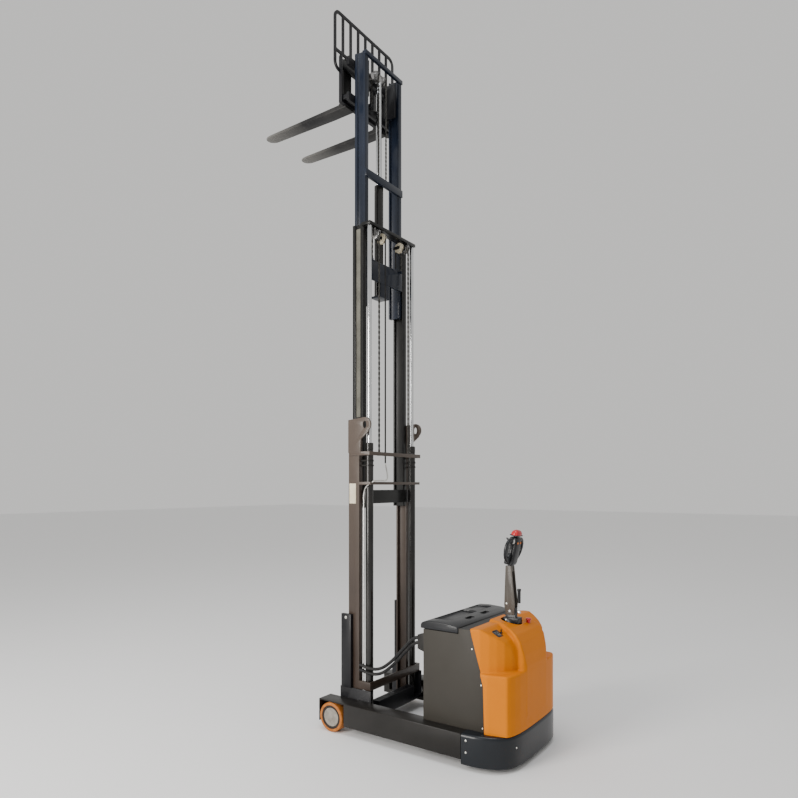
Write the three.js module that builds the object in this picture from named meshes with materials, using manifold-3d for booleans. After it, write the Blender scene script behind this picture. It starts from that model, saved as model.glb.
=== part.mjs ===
// A pedestrian reach stacker: straddle legs, a mast that slides along them, a triplex lift,
// tilting forks and a tiller-steered drive unit. Millimetres, +Z up, forks towards -Y.
// The mast is fully raised and fully forward. Before the whole truck is centred at the end,
// Y = 0 is the load wheels' axle line.
import * as THREE from "three";
import { mergeVertices } from "three/addons/utils/BufferGeometryUtils.js";
import Module from "manifold-3d";

const wasm = await Module();
wasm.setup();

// ---- Driving dimensions ----
const gap = 0.3; // between pieces that touch
const run = 3; // between pieces that slide past each other
const plate = 10; // general steel plate

const legOuter = 466; // half the width over the legs
const legWidth = 130;
const legInner = legOuter - legWidth;
const legBottom = 60;
const wheelRadius = 105;
const wheelWidth = 85;
const hubRadius = 82;
const axleRadius = 12;
const wheelStandOut = 4; // the wheel's face beyond the leg's
const legSkin = 8;

const bodyFront = 744;
const bodyHalf = legOuter - 83;
const panelTop = 826;
const deckTop = 862;
const panelSkin = 3;
const skirtTop = 226;
const skirtBottom = 32;
const skirtRear = 1400;
const skirtSkin = 5;
const coverRear = 1390;
const coverSkin = 5;
const ledgeHeight = 600; // where the rear cover steps in
const shelfZ = 826; // the shelves beside the tiller
const ridgeTop = 872; // the cover's front ridge
const spineTop = 884; // the cover's middle

const mastHalf = legInner - 12;
const mastFront = 50;
const railDepth = 97; // fore and aft
const railWidth = 41;
const railSkin = 12;
const railLip = 25; // flange of the moving stages, seen from outside
const railGroove = 10;
const mastFloor = 120;
const stroke = 1500; // of each mast stage
const outerTop = stroke + 766;
const middleTop = stroke + 712; // lowered
const innerTop = stroke + 520; // lowered
const freeLift = innerTop - 435; // of the fork carriage on the inner stage
const innerSetForward = 14;

const cylinderX = mastHalf - 49;
const cylinderY = 205;
const cylinderRadius = 29;
const liftRodRadius = 16;
const cylinderTop = stroke + 595;
const yokeHeight = stroke + 503;
const barHeight = 27;

const chainX = cylinderX - 85;
const chainWidth = 16;
const chainThick = 10;
const sheaveRadius = 27;

const forkLowered = 55;
const forkLength = 820;
const forkWidth = 100;
const forkThick = 35;
const forkFace = -58; // Y of the carriage's front face
const carriageHeight = 340;
const carriageHalf = mastHalf - 14;
const forkX = carriageHalf - 100;

const reachTravel = 420;
const reachX = legInner - 156;
const reachZ = 100;
const reachRadius = 25;

const steerY = 1205;
const driveRadius = 115;
const driveWidth = 75;
const portalZ = 540;
const tiltZ = 940; // the tiller's pivot

// ---- Small makers: each returns a manifold solid ----
const solidOf = (geometry) => {
  for (const name of ["normal", "uv"]) geometry.deleteAttribute(name);
  const merged = mergeVertices(geometry, 1e-3);
  const vertProperties = new Float32Array(merged.attributes.position.array);
  const triVerts = new Uint32Array(merged.index.array);
  return new wasm.Manifold(new wasm.Mesh({ numProp: 3, vertProperties, triVerts }));
};

const block = ([x0, x1], [y0, y1], [z0, z1]) => {
  const box = new THREE.BoxGeometry(x1 - x0, y1 - y0, z1 - z0);
  return solidOf(box.translate((x0 + x1) / 2, (y0 + y1) / 2, (z0 + z1) / 2));
};

const turn = { x: [0, 0, -Math.PI / 2], y: [0, 0, 0], z: [Math.PI / 2, 0, 0] };

// A round bar along axis, from a to b, at (u, v) on the other two axes in X, Y, Z order.
const rod = (axis, radius, [a, b], [u, v], sides = 24) => {
  const bar = new THREE.CylinderGeometry(radius, radius, b - a, sides);
  const [rx, , rz] = turn[axis];
  bar.rotateX(rx).rotateZ(rz);
  const mid = (a + b) / 2;
  const at = { x: [mid, u, v], y: [u, mid, v], z: [u, v, mid] }[axis];
  return solidOf(bar.translate(...at));
};

const outline = (points) => new THREE.Shape(points.map(([u, v]) => new THREE.Vector2(u, v)));

// A flat outline of (Y, Z) points made thick along X, from x0 to x1.
const slabX = (shape, [x0, x1], curveSegments = 8) => {
  const depth = x1 - x0;
  const slab = new THREE.ExtrudeGeometry(shape, { depth, bevelEnabled: false, curveSegments });
  return solidOf(slab.rotateX(Math.PI / 2).rotateZ(Math.PI / 2).translate(x0, 0, 0));
};

// A flat outline of (X, Z) points made thick along Y, from y0 to y1.
const slabY = (shape, [y0, y1], curveSegments = 8) => {
  const depth = y1 - y0;
  const slab = new THREE.ExtrudeGeometry(shape, { depth, bevelEnabled: false, curveSegments });
  return solidOf(slab.rotateX(Math.PI / 2).translate(0, y1, 0));
};

// A flat outline of (X, Y) points made thick along Z, from z0 to z1.
const slabZ = (shape, [z0, z1], curveSegments = 8) => {
  const depth = z1 - z0;
  const slab = new THREE.ExtrudeGeometry(shape, { depth, bevelEnabled: false, curveSegments });
  return solidOf(slab.translate(0, 0, z0));
};

const join = (...solids) => solids.reduce((whole, next) => whole.add(next));
const cut = (whole, ...tools) => tools.reduce((left, tool) => left.subtract(tool), whole);
const mirrorX = (solid) => solid.mirror([1, 0, 0]);
const both = (solid) => join(solid, mirrorX(solid));
const span = (half) => [-half, half];

// ---- Finishes ----
const finish = (color, roughness, metalness) =>
  new THREE.MeshStandardMaterial({ color, roughness, metalness });
const frameBlack = finish(0x24252a, 0.45, 0.4);
const panelGrey = finish(0x3a3b3d, 0.6, 0.2);
const coverOrange = finish(0xf59a00, 0.4, 0);
const mouldedBlack = finish(0x1a1b1d, 0.55, 0);
const rubberBlack = finish(0x141414, 0.8, 0);
const tyreOrange = finish(0xd9792b, 0.5, 0);
const hubGrey = finish(0xa8a39a, 0.5, 0.3);
const chrome = finish(0xd8dade, 0.12, 1);
const steel = finish(0x8f9194, 0.35, 0.9);
const buttonRed = finish(0xc0202c, 0.35, 0);
const batteryGrey = finish(0x4a4f55, 0.7, 0);

const truck = new THREE.Group();
const piece = (name, solid, material) => {
  const { numProp, vertProperties, triVerts } = solid.getMesh();
  const geometry = new THREE.BufferGeometry();
  const position = new Float32Array((vertProperties.length / numProp) * 3);
  for (let i = 0; i < position.length / 3; i++) {
    position.set(vertProperties.subarray(i * numProp, i * numProp + 3), i * 3);
  }
  geometry.setAttribute("position", new THREE.BufferAttribute(position, 3));
  geometry.setIndex(new THREE.BufferAttribute(new Uint32Array(triVerts), 1));
  const mesh = new THREE.Mesh(geometry, material);
  mesh.name = name;
  truck.add(mesh);
};
const pair = (name, solid, material) => {
  piece(`${name}_left`, solid, material);
  piece(`${name}_right`, mirrorX(solid), material);
};

// ---- Straddle legs and load wheels ----
const legTop = 2 * wheelRadius + 4 + legSkin;
const legFront = -wheelRadius - 5 - 6;
const legRear = 1075;
const wheelFace = legOuter + wheelStandOut;
const wheelBack = wheelFace - wheelWidth;
const channelDeep = wheelBack - legInner - legSkin - 5;
const channelZ = [legBottom + 28, legTop - 26];
const channelFront = -60;
const channelRear = bodyFront - 20;
const pocketWall = legInner + channelDeep;

const legBox = block([legInner, legOuter], [legFront, legRear], [legBottom, legTop]);
const rollerChannel = block([legInner - 1, pocketWall], [channelFront, channelRear], channelZ);
const wheelPocket = block(
  [pocketWall + legSkin, legOuter + 1],
  [-wheelRadius - 5, wheelRadius + 12],
  [legBottom - 1, legTop - legSkin],
);
const legHollow = block(
  [pocketWall + legSkin, legOuter - legSkin],
  [wheelRadius + 12 + legSkin, legRear - legSkin],
  [legBottom - 1, legTop - legSkin],
);
const stubAxle = rod("x", axleRadius, [pocketWall + 1, wheelFace - 9], [0, wheelRadius]);
pair("leg", join(cut(legBox, rollerChannel, wheelPocket, legHollow), stubAxle), frameBlack);

const tyre = cut(
  rod("x", wheelRadius, [wheelBack, wheelFace], [0, wheelRadius], 64),
  rod("x", hubRadius + gap, [wheelBack - 1, wheelFace + 1], [0, wheelRadius], 48),
);
pair("load_tyre", tyre, tyreOrange);
const hub = cut(
  rod("x", hubRadius, [wheelBack + 1, wheelFace - 2], [0, wheelRadius], 48),
  rod("x", axleRadius + gap, [wheelBack, wheelFace - 8], [0, wheelRadius]),
);
pair("load_hub", hub, hubGrey);

// ---- Chassis frame: battery floor, bulkhead, drive portal, caster plates, deck ----
const floorZ = 130;
const bulkheadY = 1060;
const frameHalf = legInner - gap;
const panelInner = bodyHalf - panelSkin - gap;
const casterX = legInner - 36;
const casterY = 1215;
const casterRadius = 45;
const casterPlateZ = 160;
const neckRadius = 65;
const reachBore = reachRadius + run;

const battery = { half: legInner - 18, y: [772, 1040], z: [floorZ + plate + gap, 690] };
const frameParts = join(
  block(span(frameHalf), [bodyFront - 40, bulkheadY + 1], [floorZ, floorZ + plate]),
  block(span(frameHalf), [bodyFront - 40, bodyFront - 28], [legBottom + 2, floorZ + plate]),
  block(span(frameHalf), [bulkheadY, bulkheadY + plate], [legBottom + 2, legTop + gap + 1]),
  block(span(panelInner), [bulkheadY, bulkheadY + plate], [legTop + gap, deckTop - 2]),
  block(span(panelInner), [1016, 1092], [deckTop - 12, deckTop - 2]),
  block(span(frameHalf), [bulkheadY, 1300], [portalZ, portalZ + plate + 2]),
  both(block([frameHalf - plate, frameHalf], [bulkheadY, 1292], [casterPlateZ, portalZ + 1])),
  both(block([casterX - 68, frameHalf], [bulkheadY, 1292], [casterPlateZ, casterPlateZ + plate])),
);
const frameCuts = join(
  rod("z", neckRadius + run, [portalZ - 1, portalZ + plate + 3], [0, steerY], 40),
  rod("y", reachBore, [bodyFront - 41, bodyFront - 27], [reachX, reachZ]),
  rod("y", reachBore, [bulkheadY - 1, bulkheadY + plate + 1], [reachX, reachZ]),
);
piece("chassis_frame", cut(frameParts, frameCuts), frameBlack);
piece("battery", block(span(battery.half), battery.y, battery.z), batteryGrey);

// ---- Body panels ----
const panelFloor = legTop + gap;
const sidePanel = outline([
  [bodyFront, panelFloor],
  [legRear, panelFloor],
  [legRear, skirtTop + gap],
  [1204, skirtTop + gap],
  [1195, 520],
  [1100, deckTop],
  [1013, deckTop],
  [1013, panelTop],
  [bodyFront, panelTop],
]);
pair("side_panel", slabX(sidePanel, [bodyHalf - panelSkin, bodyHalf]), panelGrey);
const frontPanel = block(span(panelInner), [bodyFront, bodyFront + 4], [panelFloor, panelTop]);
piece("front_panel", frontPanel, panelGrey);

const bracketX = legInner - 20;
const hoseBracket = join(
  block([bracketX - 30, bracketX + 30], [bodyFront - 22, bodyFront - gap], [640, 800]),
  block([bracketX - 22, bracketX + 22], [bodyFront - 78, bodyFront - 20], [668, 772]),
);
piece("hose_bracket", hoseBracket, frameBlack);

// The lid is one moulding with a crowned top, hollow underneath.
const lidRear = 1010;
const lidFront = 722;
const lidHalf = bodyHalf + 3;
const lidBase = panelTop + run;
const lidCrown = outline([
  [lidFront, lidBase],
  [lidRear, lidBase],
  [lidRear, lidBase + 36],
  [lidRear - 60, lidBase + 50],
  [lidFront + 120, lidBase + 57],
  [lidFront + 22, lidBase + 50],
  [lidFront, lidBase + 30],
]);
const lidHollow = block(span(lidHalf - 5), [lidFront + 6, lidRear - 5], [lidBase - 1, lidBase + 24]);
piece("battery_lid", cut(slabX(lidCrown, span(lidHalf)), lidHollow), mouldedBlack);

// ---- Rear cover and skirt ----
const halfPlan = (points) => {
  const right = points.map(([x, y]) => [-x, y]).reverse();
  return outline([...points, ...right]);
};
const coverFront = 1094;
const coverPlan = (inset, front) =>
  halfPlan([
    [bodyHalf - inset, front],
    [bodyHalf + 6 - inset, 1250],
    [bodyHalf - 23 - inset, 1348 - inset],
    [bodyHalf - 133 - inset, 1380 - inset],
    [100, coverRear - inset],
  ]);
const shoulderPlan = (inset, front) =>
  halfPlan([
    [bodyHalf - inset, front],
    [bodyHalf - 37 - inset, 1230],
    [bodyHalf - 83 - inset, 1300 - inset],
    [bodyHalf - 193 - inset, 1352 - inset],
    [80, 1366 - inset],
  ]);
const spineHalf = bodyHalf - 198;
const spine = (inset) =>
  slabX(
    outline([
      [coverFront - 20, 610],
      [1378 - inset, 610],
      [1372 - inset, 700],
      [1353 - inset, 780],
      [1326 - inset, spineTop - 62 - inset],
      [1284, spineTop - 32 - inset],
      [1220, spineTop - 10 - inset],
      [1150, spineTop - inset],
      [coverFront - 20, spineTop - inset],
    ]),
    span(spineHalf - inset),
  );
const ridge = (inset) =>
  slabX(
    outline([
      [coverFront - 20, 700],
      [1200 - inset, 700],
      [1200 - inset, shelfZ],
      [1176 - inset, ridgeTop - 8 - inset],
      [1150 - inset, ridgeTop - inset],
      [coverFront - 20, ridgeTop - 4 - inset],
    ]),
    span(bodyHalf - 8 - inset),
  );
const slantCut = slabX(
  outline([
    [1000, 100],
    [1204 + run, 100],
    [1204 + run, 222],
    [1195 + run, 520],
    [1094 + run, deckTop + 10],
    [1094 + run, 1000],
    [1000, 1000],
  ]),
  span(500),
);
const coverBase = skirtTop + gap;
const coverOuter = join(
  slabZ(coverPlan(0, coverFront), [coverBase, ledgeHeight]),
  slabZ(shoulderPlan(0, coverFront), [ledgeHeight - 1, shelfZ]),
  ridge(0),
  spine(0),
);
const coverInner = join(
  slabZ(coverPlan(coverSkin, coverFront - 20), [coverBase - 1, ledgeHeight - coverSkin]),
  slabZ(shoulderPlan(coverSkin, coverFront - 20), [ledgeHeight - 8, shelfZ - coverSkin]),
  ridge(coverSkin),
  spine(coverSkin),
);
const tillerHole = 72;
const estop = { x: 288 - bodyHalf, y: 1286, z: 866, radius: 20 };
const keySwitch = { x: bodyHalf - 157, y: 1240, radius: 9 };
const coverCuts = [
  slantCut,
  rod("z", tillerHole, [700, 1000], [0, steerY], 40),
  rod("z", 9, [700, 1000], [estop.x, estop.y]),
  rod("z", keySwitch.radius + 1, [700, 1000], [keySwitch.x, keySwitch.y]),
];
piece("rear_cover", cut(coverOuter, coverInner, ...coverCuts), coverOrange);

const skirtPlan = (inset, front) =>
  halfPlan([
    [legOuter - inset, front],
    [legOuter - 8 - inset, 1150],
    [legOuter - 34 - inset, 1250],
    [legOuter - 81 - inset, 1338 - inset],
    [legOuter - 166 - inset, 1384 - inset],
    [legOuter - 286 - inset, 1397 - inset],
    [60, skirtRear - inset],
  ]);
const skirtFront = legRear + gap;
const skirtShell = cut(
  slabZ(skirtPlan(0, skirtFront), [skirtBottom, skirtTop]),
  slabZ(skirtPlan(skirtSkin, skirtFront - 20), [skirtBottom - 1, skirtTop - skirtSkin]),
  slabZ(coverPlan(14, skirtFront - 20), [skirtTop - skirtSkin - 1, skirtTop + 1]),
);
piece("base_skirt", skirtShell, mouldedBlack);

// ---- Inside the drive bay ----
const unitBase = portalZ + plate + 2 + gap;
const powerUnit = join(
  block([63 - bodyHalf, -120], [1080, 1190], [unitBase, unitBase + 130]),
  rod("x", 48, [73 - bodyHalf, -140], [1135, unitBase + 170], 32),
  block([-260, -200], [1120, 1150], [unitBase + 100, unitBase + 140]),
);
piece("hydraulic_power_unit", powerUnit, steel);
const controller = block([130, bodyHalf - 73], [1082, 1130], [unitBase, unitBase + 200]);
piece("motor_controller", controller, mouldedBlack);

const displaySeat = shelfZ + gap;
const keyAt = [keySwitch.x, keySwitch.y];
const keyHole = rod("z", keySwitch.radius + 1, [shelfZ - 20, shelfZ + 60], keyAt);
const displayZ = [displaySeat, displaySeat + 10];
const displayPlate = block([keySwitch.x - 18, keySwitch.x + 74], [1206, 1256], displayZ);
const display = cut(displayPlate, keyHole);
piece("display_panel", display, mouldedBlack);
const keyTop = displaySeat + 12;
const keyBow = block([-9, 9], [-1.5, 1.5], [keyTop - 1, keyTop + 20]);
const key = join(
  rod("z", keySwitch.radius, [shelfZ - 30, keyTop], keyAt),
  keyBow.translate([keySwitch.x, keySwitch.y, 0]),
);
piece("ignition_key", key, steel);
const stop = join(
  rod("z", 8, [estop.z - 40, estop.z + 4], [estop.x, estop.y]),
  rod("z", estop.radius, [estop.z, estop.z + 16], [estop.x, estop.y], 32),
);
piece("estop_button", stop, buttonRed);

// ---- Reach cylinder ----
const reachTubeFront = bodyFront - 38;
const reachRodRadius = 14;
const reachTubeRear = reachTubeFront + reachTravel + 40;
const reachTube = cut(
  rod("y", reachRadius, [reachTubeFront, reachTubeRear], [reachX, reachZ]),
  rod("y", reachRodRadius + gap, [reachTubeFront - 1, reachTubeRear - 10], [reachX, reachZ]),
);
piece("reach_cylinder_tube", reachTube, steel);

// ---- Drive unit: turntable, gearbox, motor, wheel ----
const flangeZ = portalZ + plate + 2 + gap;
const driveX = driveWidth / 2;
const gearbox = join(
  rod("z", neckRadius, [driveRadius * 2 + 12, flangeZ + 1], [0, steerY], 40),
  rod("z", neckRadius + 28, [flangeZ, flangeZ + 16], [0, steerY], 40),
  block([-driveX - 38, driveX + 8], [steerY - 42, steerY + 42], [driveRadius * 2 + 6, driveRadius * 2 + 34]),
  block([-driveX - 38, -driveX - run], [steerY - 42, steerY + 42], [driveRadius - 45, driveRadius * 2 + 8]),
  rod("x", 14, [-driveX - 4, driveX - 20], [steerY, driveRadius]),
);
piece("drive_gearbox", gearbox, steel);
const motorBase = flangeZ + 16 + gap;
const motorTop = motorBase + 170;
piece("drive_motor", rod("z", 78, [motorBase, motorTop], [0, steerY], 36), mouldedBlack);
const driveWheel = cut(
  rod("x", driveRadius, span(driveX), [steerY, driveRadius], 56),
  rod("x", 14 + gap, [-driveX - 1, driveX - 19], [steerY, driveRadius]),
);
piece("drive_wheel", driveWheel, rubberBlack);

// ---- Stabiliser casters ----
const trail = 28;
const casterForkTop = casterPlateZ - gap;
const casterFork = join(
  rod("z", 38, [casterForkTop - 14, casterForkTop], [casterX, casterY], 32),
  block([casterX - 26, casterX - 20], [casterY - 20, casterY + trail + 18], [30, casterForkTop - 13]),
  block([casterX + 20, casterX + 26], [casterY - 20, casterY + trail + 18], [30, casterForkTop - 13]),
  rod("x", 6, [casterX - 26, casterX + 26], [casterY + trail, casterRadius]),
);
pair("caster_fork", casterFork, steel);
const casterWheel = cut(
  rod("x", casterRadius, [casterX - 17, casterX + 17], [casterY + trail, casterRadius], 40),
  rod("x", 6 + gap, [casterX - 18, casterX + 18], [casterY + trail, casterRadius]),
);
pair("caster_wheel", casterWheel, rubberBlack);

// ---- Tiller: base, pin, arm, head, controls, gas spring ----
const pinRadius = 8;
const cheekInner = 19;
const cheekOuter = 25;
const springY = steerY + 56;
const springZ = tiltZ - 10;
const tillerBase = cut(
  join(
    rod("z", 42, [motorTop + gap, tiltZ - 76], [0, steerY], 36),
    block([-34, 34], [steerY - 46, steerY + 62], [tiltZ - 84, tiltZ - 44]),
    block([-cheekInner + 1, cheekInner - 1], [steerY - 36, steerY + 36], [tiltZ - 46, tiltZ + 22]),
  ),
  rod("x", pinRadius + gap, span(60), [steerY, tiltZ]),
);
piece("tiller_base", tillerBase, mouldedBlack);
const cheek = outline([
  [steerY - 30, tiltZ - 26],
  [steerY + 30, tiltZ - 26],
  [steerY + 36, tiltZ + 44],
  [steerY + 10, tiltZ + 302],
  [steerY - 32, tiltZ + 302],
  [steerY - 42, tiltZ + 36],
]);
const webPlate = outline([
  [steerY - 42, tiltZ + 36],
  [steerY - 34, tiltZ + 36],
  [steerY - 24, tiltZ + 302],
  [steerY - 32, tiltZ + 302],
]);
const armCap = block([-cheekOuter, cheekOuter], [steerY - 30, steerY + 8], [tiltZ + 262, tiltZ + 302]);
const tillerArm = cut(
  join(
    slabX(cheek, [cheekInner, cheekOuter]),
    slabX(cheek, [-cheekOuter, -cheekInner]),
    slabX(webPlate, span(cheekOuter)),
    armCap,
  ),
  rod("x", pinRadius + gap, span(60), [steerY, tiltZ]),
);
piece("tiller_arm", tillerArm, frameBlack);
piece("tiller_pin", rod("x", pinRadius, span(cheekOuter + 4), [steerY, tiltZ]), steel);

const headZ = tiltZ + 302 + gap;
const headLean = (12 * Math.PI) / 180; // rearwards
const headTilt = (180 * -headLean) / Math.PI;
const loopX = 82;
const loopZ = 108;
const oval = (half, tall) => {
  const shape = new THREE.Shape();
  shape.absellipse(0, 0, half, tall, 0, Math.PI * 2, false);
  return slabY(shape, [-10, 10], 10);
};
const loop = cut(oval(54, 84), oval(36, 56).scale([1, 1.2, 1])).translate([loopX, 0, loopZ]);
const throttleZ = 168;
const headLocal = cut(
  join(
    both(loop),
    block([-36, 36], [-30, 30], [26, 196]),
    block([-30, 30], [-36, 24], [0, 60]),
  ),
  rod("x", 9, span(60), [0, throttleZ]),
  block([-15, 15], [-31, -17], [92, 132]),
  both(rod("x", 19.5, [36, 51], [0, throttleZ], 32)),
);
const headSeat = [0, steerY - 8, headZ + 4];
const lean = (solid) => solid.rotate([headTilt, 0, 0]).translate(headSeat);
const belowArm = block(span(100), [steerY - 200, steerY + 200], [headZ - 60, headZ]);
piece("tiller_head", cut(lean(headLocal), belowArm), mouldedBlack);
const bellyButton = join(
  block([-44, 44], [-24, 26], [204, 236]),
  rod("x", 22, span(40), [1, 226], 20),
);
piece("belly_button", lean(bellyButton), buttonRed);
const throttle = join(
  rod("x", 8, span(50), [0, throttleZ]),
  both(block([37, 50], [-17, 17], [throttleZ - 7, throttleZ + 7])),
);
piece("throttle", lean(throttle), mouldedBlack);
piece("lift_rocker", lean(block([-14, 14], [-36, -21], [94, 130])), buttonRed);

const springRod = join(
  rod("x", 10, span(9), [springY, springZ]),
  rod("z", 5, [springZ, springZ + 112], [0, springY], 16),
);
piece("gas_spring_rod", springRod, chrome);
const springTube = cut(
  rod("z", 11, [springZ + 64, springZ + 160], [0, springY], 20),
  rod("z", 5 + gap, [springZ + 63, springZ + 150], [0, springY], 16),
);
piece("gas_spring_tube", springTube, mouldedBlack);

// ---- Reach carriage: the welded base that carries the mast along the legs ----
const sideX = [mastHalf + 1, legInner - 2];
const basePlateTop = mastFloor - 8;
const carriageRear = 262;
const roller = { y: [20, 212], z: (channelZ[0] + channelZ[1]) / 2 };
const reachRodEnd = carriageRear + gap;
const treadHalf = mastHalf - 94;
const reachCarriage = join(
  both(block(sideX, [-22, carriageRear], [channelZ[0] + 4, 300])),
  both(block(sideX, [0, 90], [299, 840])),
  both(block([sideX[0], mastHalf + 26], [0, 90], [302, 840])),
  block(span(sideX[1]), [40, carriageRear], [basePlateTop - 20, basePlateTop]),
  block(span(treadHalf), [196, carriageRear], [basePlateTop - 1, 205]),
  ...roller.y.map((y) => both(rod("x", axleRadius, [sideX[1] - 1, pocketWall - 4], [y, roller.z]))),
);
piece("reach_carriage", reachCarriage, frameBlack);
const reachRod = rod("y", reachRodRadius, [reachRodEnd, reachTubeFront + 22], [reachX, reachZ]);
piece("reach_cylinder_rod", reachRod, chrome);

// ---- Mast stages ----
// One rail of a stage: a channel open towards the truck's centre line. With a groove in its
// outer side as well, it is an I-section, as on the two stages that move.
const rail = (outer, front, [z0, z1], groove = 0) => {
  const inner = outer - railWidth;
  const rear = front + railDepth;
  const runs = [z0 - 1, z1 + 1];
  const bar = block([inner, outer], [front, rear], [z0, z1]);
  const track = [inner - 1, outer - groove - railSkin];
  const channel = cut(bar, block(track, [front + railSkin, rear - railSkin], runs));
  if (!groove) return channel;
  return cut(channel, block([outer - groove, outer + 1], [front + railLip, rear - railLip], runs));
};
const railPitch = railWidth + run;
const middleOuter = mastHalf - railPitch;
const innerOuter = middleOuter - railPitch;
const railRear = mastFront + railDepth;
const yokeY = [cylinderY + cylinderRadius + 4, cylinderY + cylinderRadius + 16];

const eyePlate = new THREE.Shape();
eyePlate.moveTo(mastFront + 4, yokeHeight + 20);
eyePlate.lineTo(mastFront + 118, yokeHeight + 20);
eyePlate.lineTo(mastFront + 120, yokeHeight + 119);
eyePlate.lineTo(mastFront + 190, yokeHeight + 172);
eyePlate.absarc(mastFront + 156, yokeHeight + 222, 54, -0.9, Math.PI / 2, false);
eyePlate.lineTo(mastFront + 4, yokeHeight + 262);
const eyeHole = new THREE.Path();
eyeHole.absellipse(mastFront + 156, yokeHeight + 222, 17, 28, 0, Math.PI * 2, true);
eyePlate.holes.push(eyeHole);

const sideBar = [mastHalf - 1, mastHalf + 10];
const yokeZ = [yokeHeight, yokeHeight + barHeight];
const yoke = join(
  block(span(sideBar[1]), yokeY, yokeZ),
  both(block(sideBar, [mastFront + 10, yokeY[1]], yokeZ)),
);
const anchorTab = block(
  [chainX - chainWidth / 2 - 2, chainX + chainWidth / 2 + 2],
  [yokeY[0] - 18, yokeY[0] + 1],
  yokeZ,
);
const tieBar = (z, tall) =>
  join(
    block(span(mastHalf), yokeY, [z, z + tall]),
    both(block([cylinderX + cylinderRadius + 2, mastHalf], [railRear - 1, yokeY[1]], [z, z + tall])),
  );
const outerMast = join(
  both(rail(mastHalf, mastFront, [basePlateTop + gap, outerTop])),
  yoke,
  tieBar(yokeHeight - 213, 20),
  tieBar(300, 60),
  both(slabX(eyePlate, [mastHalf - 0.5, mastHalf + 12])),
  both(anchorTab),
);
piece("outer_mast", outerMast, frameBlack);

const liftTube = cut(
  rod("z", cylinderRadius, [basePlateTop + gap, cylinderTop], [cylinderX, cylinderY], 28),
  rod("z", liftRodRadius + gap, [basePlateTop + 20, cylinderTop + 1], [cylinderX, cylinderY], 20),
);
pair("lift_cylinder", liftTube, mouldedBlack);

const middleRaised = stroke;
const middleZ = [mastFloor + middleRaised, middleTop + middleRaised];
const topBarZ = [middleZ[1] - 22, middleZ[1]];
const sheaveY = 197;
const chainOut = sheaveRadius + gap + chainThick;
const sheaveZ = topBarZ[0] - chainOut - 3;
const sheaveHalf = chainWidth / 2 + 4;
const hanger = (x) => block([x, x + 5], [sheaveY - 14, sheaveY + 14], [sheaveZ - 14, topBarZ[0] + 1]);
const middleBarY = [railRear + 1, cylinderY - cylinderRadius - 4];
const middleMast = join(
  both(rail(middleOuter, mastFront + 2, middleZ, railGroove)),
  block(span(cylinderX + 22), [railRear + 1, cylinderY + 22], topBarZ),
  block(span(middleOuter), middleBarY, [middleZ[0] + 30, middleZ[0] + 130]),
  both(join(hanger(chainX - sheaveHalf - 6.5), hanger(chainX + sheaveHalf + 1.5))),
  both(rod("x", 7, [chainX - sheaveHalf - 6, chainX + sheaveHalf + 6], [sheaveY, sheaveZ])),
);
piece("middle_mast", middleMast, frameBlack);
const liftRodZ = [mastFloor + middleRaised + 15, topBarZ[0] - gap];
pair("lift_rod", rod("z", liftRodRadius, liftRodZ, [cylinderX, cylinderY], 20), chrome);

const sheave = cut(
  join(
    rod("x", sheaveRadius, [chainX - sheaveHalf, chainX + sheaveHalf], [sheaveY, sheaveZ], 32),
    rod("x", chainOut, [chainX - sheaveHalf, chainX - sheaveHalf + 3.5], [sheaveY, sheaveZ], 32),
    rod("x", chainOut, [chainX + sheaveHalf - 3.5, chainX + sheaveHalf], [sheaveY, sheaveZ], 32),
  ),
  rod("x", 7 + gap, [chainX - 40, chainX + 40], [sheaveY, sheaveZ]),
);
pair("chain_sheave", sheave, steel);

const innerRaised = 2 * stroke;
const innerZ = [mastFloor + innerRaised, innerTop + innerRaised];
const innerFront = mastFront - innerSetForward;
const innerRear = innerFront + railDepth;
const chainFoot = innerZ[0] + 360; // where the chain meets the inner stage
const chainX2 = [chainX - chainWidth / 2, chainX + chainWidth / 2];
const chainArc = cut(
  rod("x", chainOut, chainX2, [sheaveY, sheaveZ], 32),
  rod("x", sheaveRadius + gap, [chainX - 20, chainX + 20], [sheaveY, sheaveZ], 32),
  block([chainX - 20, chainX + 20], [sheaveY - 60, sheaveY + 60], [sheaveZ - 60, sheaveZ]),
);
const frontRun = [sheaveY - chainOut, sheaveY - sheaveRadius - gap];
const rearRun = [sheaveY + sheaveRadius + gap, sheaveY + chainOut];
const chain = join(
  chainArc,
  block(chainX2, rearRun, [yokeHeight + barHeight + gap, sheaveZ + 1]),
  block(chainX2, frontRun, [chainFoot + gap, sheaveZ + 1]),
);
pair("lift_chain", chain, steel);

const freeLiftY = 84;
const freeTubeRadius = 35;
const freeRodRadius = 19;
const midBeamZ = innerZ[0] + freeLift / 2 + 172.5;
const innerBeamY = [innerRear - 1, innerRear + 15];
const beamFoot = innerZ[0] + 210;
const tubeFoot = innerZ[0] + 105; // the shelf that the free-lift tube stands on
const innerMast = join(
  both(rail(innerOuter, innerFront, innerZ, railGroove)),
  block(span(innerOuter), innerBeamY, [beamFoot, chainFoot]),
  both(block([chainX2[0] - 2, chainX2[1] + 2], [innerRear, frontRun[1] + 2], [chainFoot - 16, chainFoot])),
  block(span(60), [freeLiftY - 34, innerRear + 13], [tubeFoot, tubeFoot + 14]),
  block(span(60), [innerRear, innerRear + 13], [tubeFoot, beamFoot + 1]),
  block(span(innerOuter), [innerRear - 10, innerRear + 12], [midBeamZ, midBeamZ + 55]),
  block(span(innerOuter), [innerRear - 10, innerRear + 12], [innerZ[1] - 30, innerZ[1]]),
);
piece("inner_mast", innerMast, frameBlack);
const freeTubeTop = midBeamZ + 20;
const freeTube = cut(
  rod("z", freeTubeRadius, [tubeFoot + 14 + gap, freeTubeTop], [0, freeLiftY], 28),
  rod("z", freeRodRadius + gap, [tubeFoot + 26, freeTubeTop + 1], [0, freeLiftY], 20),
);
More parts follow.
